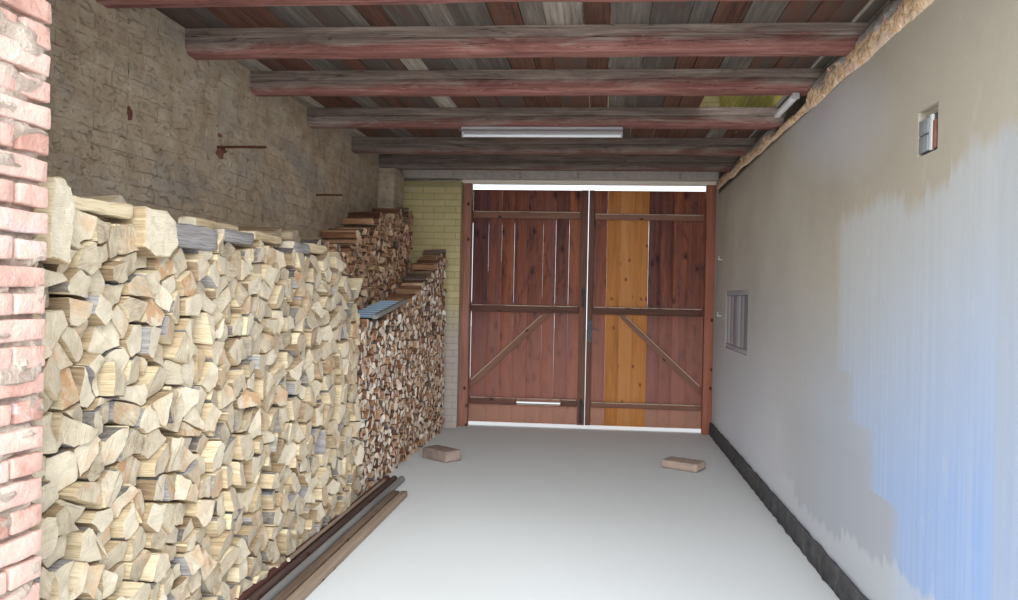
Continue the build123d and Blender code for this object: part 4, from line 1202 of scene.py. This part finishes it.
for x in purlin_at:
    x += 0.035
    z = base_z + (x - roof_x) / cosine * sine + depth + 0.0035
    for k in range(0, waves, 3):
        bolt(screws, (x, roof_y + wave * (k + 0.5), z), Vector((-sine, 0, cosine)), 0.007)
screws.make("roof_screws", "pale_steel", "roof_cement")


# Back doorway and doors
def dress(node, look, edge=0.0):
    """Gives a CAD node that stays its material, and rounds its sharp edges."""
    item = nodes[node]
    item.data.materials.clear()
    item.data.materials.append(looks[look])
    for polygon in item.data.polygons:
        polygon.material_index = 0
    if edge:
        bevel = item.modifiers.new("worn_edges", "BEVEL")
        bevel.width = edge
        bevel.segments = 2
        bevel.limit_method = "ANGLE"
        bevel.angle_limit = math.radians(40)


def timbers(name, look, slot, node, boxes=None, body="root", lit_edge=False, along=2, **more):
    """Worn timbers in the place of a CAD node: one in its box, or one for each of some boxes."""
    piece = Piece()
    boxes = boxes or [(*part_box(node), along)]
    for index, (low, high, along) in enumerate(boxes):
        lump(piece, low, high, along, tone=random.Random(name + str(index)).random(),
             seed=index * 1.9 + len(name),
             **more)
    for index, (low, high, along) in enumerate(boxes):
        # A pale strip along each rail's top edge: painted highlight where light falls on it, and partly a
        # worn arris
        if lit_edge and along == 0:
            lump(piece, (low[0] + 0.006, low[1] - 0.0004, high[2] - 0.012),
                 (high[0] - 0.006, low[1] + 0.006, high[2] - 0.001), 0, step=0.05, cross=0.03, edge=0.002,
                 wobble=0.0012, slot=1, tone=0.5, seed=index * 2.7)
    piece.make(name, look + " worn_edge", slot, node, 0.7, body)


for node, look, edge in (("left_wall", "lime_mortar", 0), ("left_pilaster", "lime_mortar", 0),
                         ("back_wall_left", "yellow_mortar", 0), ("back_wall_upper", "yellow_mortar", 0),
                         ("right_wall", "wall_render", 0), ("wall_hooks", "socket_pale", 0),
                         ("iron_rods", "rusty_iron", 0), ("lintel_bar", "bar_paint", 0.002),
                         ("left_leaf_hinges", "dark_steel", 0.0015),
                         ("right_leaf_hinges", "dark_steel", 0.0015),
                         ("left_leaf_bolts", "dark_steel", 0.0015),
                         ("left_hinge_pins", "dark_steel", 0.0015),
                         ("right_hinge_pins", "dark_steel", 0.0015),
                         ("right_leaf_lock", "lock_steel", 0.003)):
    dress(node, look, edge)
timbers("left_post_timber", "post_wood", "red_timber", "door_post_left", edge=0.006, bend=0.003)
timbers("right_post_timber", "rail_wood", "red_timber", "door_post_right", edge=0.006, bend=0.003)
timbers("door_lintel_timber", "pale_timber", "pale_timber", "door_lintel", along=0, edge=0.006)
bolts = Piece()
for x in (-0.430, 0.237, 1.397):
    for z in (2.966, 2.922):
        bolt(bolts, (x, back_inner, z), south, 0.012)
bolt(bolts, (-1.211, back_inner, 2.955), south, 0.010)
bolts.make("lintel_bar_bolts", "pale_steel", "dark_steel")

leaf_face = 3.7385
leaf_low, leaf_high = 0.045, 2.812


def open_at(z, spans):
    """Half the width of a gap at a height: open over some spans, all but closed elsewhere."""
    widest = 0.00035
    for low, high, width in spans:
        share = min(1.0, max(0.0, (z - low) / 0.08 + 0.5), max(0.0, (high - z) / 0.08 + 0.5))
        widest = max(widest, width / 2000 * 0.78 * share)
    return widest


def door_boards(side, cuts, tones, honey=(), light_slot=None):
    """Upright boards between the gaps. Each cut is the middle of a gap and then its open spans in mm."""
    piece = Piece()
    node = side + "_leaf_boards"
    for index, ((low, *spans_low), (high, *spans_high)) in enumerate(zip(cuts, cuts[1:])):
        first, last = index == 0, index == len(cuts) - 2

        def shape(spot):
            share = (spot.x - low) / (high - low)
            left = low + (0 if first else open_at(spot.z, spans_low))
            right = high - (0 if last else open_at(spot.z, spans_high))
            return Vector((left + (right - left) * share, spot.y, spot.z))

        parts = [(low, high, leaf_low, leaf_high)]
        if light_slot and high > light_slot[0] and low < light_slot[1]:
            s0, s1, z0, z1 = light_slot
            parts = [(low, high, leaf_low, z0), (low, high, z1, leaf_high)]
            if low < s0:
                parts.append((low, s0, z0, z1))
            if high > s1:
                parts.append((s1, high, z0, z1))
        for x0, x1, z0, z1 in parts:
            lump(piece, (x0, leaf_face, z0), (x1, leaf_face + 0.028, z1), 2, step=0.06, edge=0.0015,
                 wobble=0.0004,
                 slot=1 if index in honey else 0, tone=tones[index], seed=index * 3.3 + len(node),
                 shape=shape,
                 cross=0.06)
    piece.make(side + "_leaf_planks", "door_wood honey_wood", "door_boards", node, 0.6, side + "_leaf")


def rail(x0, x1, z0, z1):
    return ((x0, leaf_face - 0.04, z0), (x1, leaf_face - 0.0003, z1), 0)


def brace_timber(side, foot, near, far):
    """A brace cut upright at its foot and level at its head."""
    piece = Piece()
    foot_low, foot_high, top = 0.420, 0.540, 1.3547

    def shape(spot):
        low = Vector((foot, 0, foot_low)).lerp(Vector((far, 0, top)), spot.x)
        high = Vector((foot, 0, foot_high)).lerp(Vector((near, 0, top)), spot.x)
        at = low.lerp(high, spot.z)
        return Vector((at.x, spot.y, at.z))

    lump(piece, (0, leaf_face - 0.035, 0), (1, leaf_face - 0.0003, 1), step=0.1, edge=0.0035, wobble=0.0,
         shape=shape, tone=0.62, seed=4.2 + foot)
    # A pale strip along the brace's top edge: painted highlight, and partly a worn arris
    lump(piece, (0.02, leaf_face - 0.0354, 0.86), (0.97, leaf_face - 0.029, 0.985), step=0.04, cross=0.2,
         edge=0.001, wobble=0.0, slot=1, shape=shape, tone=0.5, seed=foot)
    piece.marks = [(along * 1.3, across * 0.09) for along, across in piece.marks]
    piece.make(side + "_leaf_brace_timber", "ledge_wood worn_edge", "red_timber", side + "_leaf_brace", 0.7,
               side + "_leaf")


s0, s1, z0, z1 = light_slot = (-0.450, 0.075, 0.276, 0.302)
door_boards("left", ((-1.060,),
                     (-1.014, (0.1, 0.50, 6.0), (0.55, 1.385, 11.0), (1.46, 2.46, 11.5), (2.5, 2.9, 6.0)),
                     (-0.822, (1.80, 2.46, 6.0), (1.50, 1.80, 4.8)),
                     (-0.663, (1.93, 2.46, 5.2), (2.56, 2.9, 4.2)),
                     (-0.511, (1.45, 2.46, 5.6), (1.14, 1.38, 4.0)), (-0.345,),
                     (-0.168, (1.50, 2.46, 3.6), (0.81, 1.23, 3.6)),
                     (-0.018, (1.45, 2.46, 4.6), (0.70, 1.36, 4.6), (0.35, 0.7, 2.6)),
                     (0.139, (1.45, 2.46, 4.0), (0.85, 1.38, 2.0)), (0.359,)),
            (0.35, 0.05, 0.55, 0.6, 0.45, 0.5, 0.62, 0.35, 0.75), light_slot=light_slot)
door_boards("right", ((0.367,), (0.586,), (0.746,), (0.901,), (1.071, (2.15, 2.46, 5.5), (1.45, 2.2, 3.6)),
                      (1.217,),
                      (1.363,), (1.535,), (1.757,)), (0.6, 0.3, 0.6, 0.4, 0.2, 0.3, 0.65, 0.45), (1, 2, 3))
x0, x1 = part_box("left_leaf_ledges")[0][0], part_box("left_leaf_ledges")[1][0]
rails = [rail(x0, x1, 1.360, 1.444), rail(x0, x1, 2.470, 2.554), rail(x0, s0, 0.261, 0.346),
         rail(s0, s1, 0.261, z0),
         rail(s0, s1, z1, 0.346), rail(s1, x1, 0.261, 0.346)]
timbers("left_leaf_rails", "ledge_wood", "red_timber", "left_leaf_ledges", rails, "left_leaf", True,
        edge=0.007)
timbers("left_leaf_stile_timber", "ledge_wood", "red_timber", "left_leaf_stile", body="left_leaf",
        edge=0.004)
brace_timber("left", x0, -0.149, -0.044)
x0, x1 = 0.436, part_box("right_leaf_ledges")[1][0]
rails = [rail(x0, x1, 0.262, 0.326), rail(x0, x1, 1.355, 1.443), rail(x0, x1, 2.466, 2.537),
         ((0.367, leaf_face - 0.03, leaf_low), (0.430, leaf_face - 0.0003, leaf_high), 2)]
timbers("right_leaf_rails", "ledge_wood", "red_timber", "right_leaf_ledges", rails, "right_leaf", True,
        edge=0.007)
brace_timber("right", x1, 0.805, 0.723)
for side, sign, pivot in (("left", 1, -1.076), ("right", -1, 1.773)):
    heads = Piece()
    for level in (0.300, 2.420):
        for k in range(5):
            bolt(heads, (pivot + sign * (0.10 + 0.135 * k), leaf_face + 0.0345, level + 0.025), north, 0.009)
    heads.make(side + "_strap_bolts", "dark_steel", "dark_steel", body=side + "_leaf")

# Fittings
hatch = Piece()
(low_x, y0, z0), (high_x, y1, z1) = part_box("hatch_frame")
low_x -= 0.034
inset = 0.045
for a, b, along in (((low_x, y0, z0), (high_x, y1, z0 + inset), 1),
                    ((low_x, y0, z1 - inset), (high_x, y1, z1), 1),
                    ((low_x, y0, z0 + inset), (high_x, y0 + inset, z1 - inset), 2),
                    ((low_x, y1 - inset, z0 + inset), (high_x, y1, z1 - inset), 2)):
    lump(hatch, a, b, along, edge=0.003, seed=a[2] * 3)
hatch.make("hatch_frame_timber", "hatch_wood", "hatch_timber", "hatch_frame", 0.7)
shutter = Piece()
low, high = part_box("hatch_door")
count = 6
for k in range(count):
    y0, y1 = [low[1] + (high[1] - low[1]) * at / count for at in (k, k + 1)]
    lump(shutter, (low[0] - 0.026, y0, low[2]), (high[0], y1 - 0.003, high[2]), 2, edge=0.003,
         tone=(k * 0.37) % 1,
         seed=k * 2.3)
shutter.make("hatch_planks", "hatch_wood", "hatch_timber", "hatch_door", 0.7)

# The outlet: two sockets one over the other, a pale strip and a red one beside them, on a dark box
outlet = Piece()
(low_x, y0, z0), (high_x, y1, z1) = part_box("wall_outlet")
mid_z = (z0 + z1) / 2
for x0, x1, a, b, low_z, high_z, slot, wobble, edge in (
        (0.012, high_x - low_x, y0, y1, z0, z1, 2, 0.0015, 0.004),
        (-0.003, 0.013, y0 + 0.060, y1 + 0.0045, z0 + 0.006, mid_z - 0.003, 0, 0.0006, 0.003),
        (-0.003, 0.013, y0 + 0.060, y1 + 0.0045, mid_z + 0.003, z1 - 0.010, 0, 0.0006, 0.003),
        (0.0006, 0.013, y0 + 0.028, y0 + 0.056, z0 + 0.003, z1 - 0.003, 1, 0.0006, 0.003),
        (0.003, 0.013, y0 + 0.001, y0 + 0.026, z0 + 0.006, z1 - 0.030, 3, 0.002, 0.003)):
    lump(outlet, (low_x + x0, a, low_z), (low_x + x1, b, high_z), 2, edge=edge, slot=slot, wobble=wobble)
outlet.make("outlet_sockets", "socket_grey socket_pale socket_dark dusty_red", "outlet_plastic",
            "wall_outlet", 0.7)

broken = Piece()
count = 18
for y, z, long, tall, seed in ((-0.865, 2.375, 0.060, 0.036, 1.3), (-0.825, 2.405, 0.040, 0.026, 4.1),
                               (-0.865, 2.487, 0.036, 0.013, 7.7), (-1.785, 2.40, 0.020, 0.045, 9.2)):
    points = [(-half_width + 0.0105, y, z)]
    for level, share in ((0.0105, 0.6), (0.0095, 0.95), (0.0, 1.0)):
        for k in range(count):
            angle = 2 * math.pi * k / count
            c, s = math.cos(angle), math.sin(angle)
            reach = share * (0.8 + 0.55 * noise.noise(Vector((c * 1.6, s * 1.6, seed))))
            points.append((-half_width + level, y + long * reach * c, z + tall * reach * s))
    faces = disc_faces(count, 3) + [tuple(range(1 + 2 * count, 1 + 3 * count))]
    broken.add(points, faces, 0, (seed * 0.37) % 1)
broken.make("bare_brick_patches", "bare_patch", "limewash_brick")

# The strip light: a tray with splayed sides, a holder at each end and a tube between them
strip = Piece()
(x0, y0, z0), (x1, y1, z1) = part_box("strip_light")
mid_y = (y0 + y1) / 2
tray_low = z1 - 0.042
half = [(0.030, z1 - 0.0003), (0.030, tray_low + 0.022), (0.062, tray_low), (0.058, tray_low),
        (0.028, tray_low + 0.018)]
other = [(-y, z) for y, z in reversed(half)]
tray = [other[-1]] + half + other[:-1]
count = len(tray)
faces = tube_faces(count) + [tuple(range(count)), tuple(count + k for k in range(count))]
strip.add([(x, mid_y + y, z) for x in (x0, x1) for y, z in tray], faces)
for end in (x0, x1 - 0.018):
    lump(strip, (end + 0.0005, mid_y - 0.0128, z0), (end + 0.0175, mid_y + 0.0128, tray_low + 0.019), 2,
         edge=0.003,
         wobble=0.0)
rod(strip, (x0 + 0.016, mid_y, z0 + 0.013), (x1 - 0.016, mid_y, z0 + 0.013), 0.0128, 18, slot=1)
strip.make("strip_light_fitting", "enamel tube_glass", "light_enamel", "strip_light", 0.7)

tube = Piece()
(x0, y0, z0), (x1, y1, z1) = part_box("tube_light")
lump(tube, (x0 + 0.002, y0 + 0.02, z0 + 0.002), (x1 - 0.002, y1 - 0.02, z1 - 0.0003), 1, edge=0.012,
     wobble=0.0002,
     cross=0.02)
for end in (y0, y1 - 0.024):
    lump(tube, (x0, end, z0), (x1, end + 0.024, z1 - 0.0003), 1, slot=1, wobble=0.0)
tube.make("tube_light_fitting", "tube_glass enamel", "light_enamel", "tube_light", 0.7)

# Right wall's foot and broken top
plinth = Piece()
low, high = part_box("right_plinth")


def rubble(spot):
    """Rough stone that keeps within the plinth's box."""
    inward = (half_width - spot.x) / 0.028
    bumpy = noise.noise(spot * 9) * 0.010 + noise.noise(spot * 31) * 0.005
    spot.x = max(low[0] + 0.0005, min(half_width, spot.x + inward * (0.006 + bumpy)))
    if spot.z > 0.1:
        spot.z -= 0.012 * (1 + noise.noise(Vector((0, spot.y * 6, 1))))
    return spot


lump(plinth, low, high, 1, step=0.03, cross=0.03, edge=0.006, wobble=0.003, shape=rubble)
plinth.make("plinth_rubble", "plinth_rough", "plinth_stone", "right_plinth", 1.0)

# Foam in the chase under the deck, missing near the gap in it
crust = Piece()
count, around = 520, 12
deck_foot = deck_low - 0.0005
points, rims = [], []
for k in range(count + 1):
    y = front + 0.004 + (back_inner - front - 0.008) * k / count
    low_z = 2.700 + 0.014 * (y - front) + 0.022 * noise.noise(Vector((y * 2.3, 0, 5)))
    for j in range(around + 1):
        share = j / around
        x = half_width + 0.088 * max(0.0, share - 0.08) / 0.92
        z = low_z + (deck_foot - low_z) * share
        lobe = abs(noise.noise(Vector((y * 7.0, share * 2.2, 3.0))))
        lobe += 0.6 * abs(noise.noise(Vector((y * 19.0, share * 6.0, 8.0))))
        out = 0.004 + 0.042 * math.sin(math.pi * min(1.0, share * 1.15)) * (0.35 + lobe)
        missing = max(0.0, min(1.0, (y + 0.44) / 0.10,
                               (0.74 - y) / 0.12)) * min(1.0, max(0.0, (share - 0.22) / 0.12))
        out -= missing * (out + 0.045 * (1 - share))
        spot = Vector((x - out, y, z)) + noise.noise_vector(Vector((x, y, z)) * 46) * 0.006
        spot.x = max(half_width - 0.024, min(spot.x, half_width + 0.10))
        spot.z = min(spot.z, deck_foot)
        points.append(spot)
        rims.append(share + 1.2 * missing)
row = around + 1
faces = [(k * row + j, k * row + j + 1, (k + 1) * row + j + 1, (k + 1) * row + j)
         for k in range(count) for j in range(around)]
back_row = len(points)
for k in range(count + 1):
    y = points[k * row].y
    points += [Vector((half_width + 0.006, y, points[k * row].z)),
               Vector((half_width + 0.112, y, deck_foot))]
    rims += [0.0, 1.0]
for k in range(count):
    a, b = back_row + 2 * k, back_row + 2 * k + 2
    faces += [(k * row, (k + 1) * row, b, a), (a, b, b + 1, a + 1),
              (a + 1, b + 1, (k + 1) * row + around, k * row + around)]
for k in (0, count):
    faces.append((*range(k * row, (k + 1) * row), back_row + 2 * k + 1, back_row + 2 * k))
crust.add(points, faces, 0, 0.5, None, 0.5, rims)
crust.make("foam_filling", "aged_foam", "grey_render", smooth=1.2)

# Loose things
blue = Piece()
(x0, y0, z0), (x1, y1, z1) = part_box("blue_sheet")
drop = z1 - z0 - 0.014
across, up, ribs = 104, 6, 13
points = []
for level in (0, 1):
    for j in range(up + 1):
        for i in range(across + 1):
            z = z0 + drop * i / across + 0.0065 + 0.006 * math.cos(2 * math.pi * i / ribs)
            points.append((x0 + (x1 - x0) * j / up, y0 + (y1 - y0) * i / across, z + 0.0015 * level))
row = across + 1
size = (up + 1) * row
faces = grid_faces(across, up)
faces += [tuple(size + k for k in face) for face in faces]
edges = [(at + i, at + i + 1) for i in range(across) for at in (0, up * row)]
edges += [(at + j * row, at + (j + 1) * row) for j in range(up) for at in (0, across)]
faces += [(a, b, size + b, size + a) for a, b in edges]
for face in faces:
    # Painted shade: faces in the troughs of the corrugations get the dark blue
    dark = (face[0] % size) % row % ribs in (4, 5, 6, 7, 8)
    blue.add([points[k] for k in face], [tuple(range(len(face)))], int(dark), 0.5)
blue.make("blue_corrugated_sheet", "blue_paint blue_dark", "blue_paint", "blue_sheet", 1.0)
edge_batten = Piece()
low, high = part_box("blue_sheet_batten")
tall = 0.034
lump(edge_batten, (low[0], low[1], 0), (high[0], high[1], tall), 1, edge=0.003, wobble=0.002, tone=0.6,
     shape=lambda spot: Vector((spot.x, spot.y, spot.z + low[2] + (high[2] - low[2] - tall)
                                * (spot.y - low[1]) / (high[1] - low[1]))))
edge_batten.make("blue_sheet_edge_batten", "grey_wood", "grey_timber", "blue_sheet_batten", 0.7)


def pole(piece, x, z, y0, y1, radius, seed, slot, end_slot):
    """A slightly crooked pole with knots, cut at both ends."""
    count, sides = 36, 16
    angles = [2 * math.pi * i / sides for i in range(sides)]
    points, marks = [], []
    for k in range(count + 1):
        y = y0 + (y1 - y0) * k / count
        sway = noise.noise_vector(Vector((y * 0.7, seed * 3, 1))) * radius * 0.16
        knot = max(0.0, noise.noise(Vector((y * 3.1, seed * 7, 3))) - 0.35) * radius * 0.5
        taper = 0.86 + 0.10 * (k / count)
        for i, angle in enumerate(angles):
            reach = min(radius * 0.99,
                        radius * taper * (1 + 0.05 * noise.noise(Vector((y * 9, i, seed)))) + knot)
            points.append((x + sway.x * 0.6 + math.cos(angle) * reach, y,
                           max(z - radius + 0.0005, z - radius * (1 - taper) + math.sin(angle) * reach)))
            marks.append((y + seed * 3, radius * 6.28 * i / sides + seed))
    piece.add(points, tube_faces(sides, count), slot, 0.5, marks)
    marks = [(math.cos(angle) * radius, math.sin(angle) * radius) for angle in angles]
    for k in (0, count):
        piece.add(points[k * sides:(k + 1) * sides], [tuple(range(sides))], end_slot, 0.6, marks)


poles = Piece()
(x0, y0, _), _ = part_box("poles")
radius, thin = 0.027, 0.014
for index in range(3):
    pole(poles, x0 + radius + index * 0.062, radius, y0, y0 + 2.65, radius, index + 1.0, index, 4)
thin_z = radius + math.sqrt(0.0413 ** 2 - 0.031 ** 2)
pole(poles, x0 + radius + 0.031, thin_z, y0 + 0.56, y0 + 0.56 + 1.9, thin, 5.0, 3, 4)
poles.make("poles_round", "red_pole dark_pole grey_pole tan_wood pale_end", "pole_wood", "poles", 0.9)
low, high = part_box("battens")
timbers("battens_flat", "tan_wood", "batten_wood", "battens",
        [((low[0], low[1], 0.0), (low[0] + 0.05, high[1], 0.045), 1),
         ((high[0] - 0.05, low[1], 0.0), high, 1)],
        wobble=0.002)

loose = Piece()
for x, turned, long, wide, tall, tone in ((-0.925, -38, 0.345, 0.19, 0.105, 0.3),
                                          (1.315, -29, 0.35, 0.215, 0.078, 0.8)):
    place = Matrix.Translation((x, 1.7325, 0)) @ Matrix.Rotation(math.radians(turned), 4, "Z")
    lump(loose, (-long / 2 + 0.001, -wide / 2 + 0.001, 0.001),
         (long / 2 - 0.001, wide / 2 - 0.001, tall - 0.001),
         step=0.03, cross=0.03, edge=0.012, wobble=0.004, tone=tone, seed=x, place=place)
loose.make("loose_bricks", "dusty_brick", "red_brick", "floor_bricks", 0.9)

# Stage, light and camera
bpy.ops.mesh.primitive_plane_add(size=70, location=(0, 0, 0))
floor = bpy.context.object
floor.name = "stage_floor"
floor_look = Look("stage_floor", 0.95, spec=0.1)
floor_look.colour = floor_look.ramp(floor_look.noise(floor_look.place(), 0.4, 2.0), (0.3, 0.62, 0.62, 0.61),
                                    (0.7, 0.64, 0.64, 0.63))
floor_look.finish(None, 0)
floor.data.materials.append(looks["stage_floor"])

world = bpy.data.worlds.new("studio")
bpy.context.scene.world = world
world.use_nodes = True
sky = world.node_tree.nodes["Background"].inputs
sky["Color"].default_value = (0.86, 0.94, 1.0, 1)
sky["Strength"].default_value = 1.7


def lamp(name, kind, power, colour, way):
    """A light that shines along a way."""
    data = bpy.data.lights.new(name, kind)
    data.energy = power
    data.color = colour
    item = bpy.data.objects.new(name, data)
    bpy.context.scene.collection.objects.link(item)
    item.rotation_euler = Vector(way).to_track_quat("-Z", "Y").to_euler()
    return item


for name, place, aim, size, power, colour in (
        ("soft_front", (1.6, -10.5, 5.5), (-0.2, 0, 1.2), (8, 6), 2000, (0.86, 0.94, 1.0)),
        ("soft_side", (-9, 3, 8), (0, 0, 1.5), (7, 5), 500, (0.97, 0.98, 1.0)),
        ("ground_glow", (0.4, -0.1, 0.02), (0.4, -0.1, 2), (2.5, 6.8), 26, (0.96, 0.97, 0.98)),
        ("upper_glow", (0.5, 0.4, 2.78), (0.5, 0.4, 0), (1.8, 6.0), 15, (0.96, 0.98, 1.0)),
        ("mouth_glow", (0.5, -4.3, 1.5), (0.3, 0, 1.5), (2.8, 2.4), 22, (0.82, 0.93, 1.0)),
        ("stack_glow", (0.2, -3.9, 2.1), (-1.3, -2.7, 0.9), (0.7, 0.7), 9, (1.0, 0.98, 0.93)),
        ("loft_glow", (0.6, 0.4, 3.3), (0.6, 0.4, 5), (1.5, 5.0), 15, (1.0, 0.98, 0.93))):
    item = lamp(name, "AREA", power, colour, Vector(aim) - Vector(place))
    item.data.shape = "RECTANGLE"
    item.data.size, item.data.size_y = size
    item.location = place
    item.visible_camera = False
    item.visible_glossy = False
for name, way, power in (("far_left_fill", (-0.42, 1.0, -0.08), 1.15),
                         ("far_right_fill", (0.30, 1.0, -0.08), 0.85)):
    lamp(name, "SUN", power, (0.97, 0.98, 1.0), way).data.angle = 0.7

# The camera, as it was solved from the photo's straight edges
photo_width, focal, middle_shift = 1018, 780.0, -27.25
yaw, pitch_up, roll = -0.0855, -0.0016, -0.0206
forward = Vector((math.sin(yaw) * math.cos(pitch_up), math.cos(yaw) * math.cos(pitch_up),
                  math.sin(pitch_up)))
right = Vector((math.cos(yaw), -math.sin(yaw), 0))
upward = right.cross(forward)
side = right * math.cos(roll) - upward * math.sin(roll)
top = right * math.sin(roll) + upward * math.cos(roll)
camera_data = bpy.data.cameras.new("photo_camera")
camera_data.sensor_width = 36
camera_data.lens = focal / photo_width * 36
camera_data.shift_x = middle_shift / photo_width
camera_data.clip_end = 300
camera = bpy.data.objects.new("photo_camera", camera_data)
bpy.context.scene.collection.objects.link(camera)
camera.matrix_world = (Matrix.Translation((0.553, -5.4805, 1.5228))
                       @ Matrix((side, top, -forward)).transposed().to_4x4())
bpy.context.scene.camera = camera
bpy.context.scene.view_settings.view_transform = "Standard"
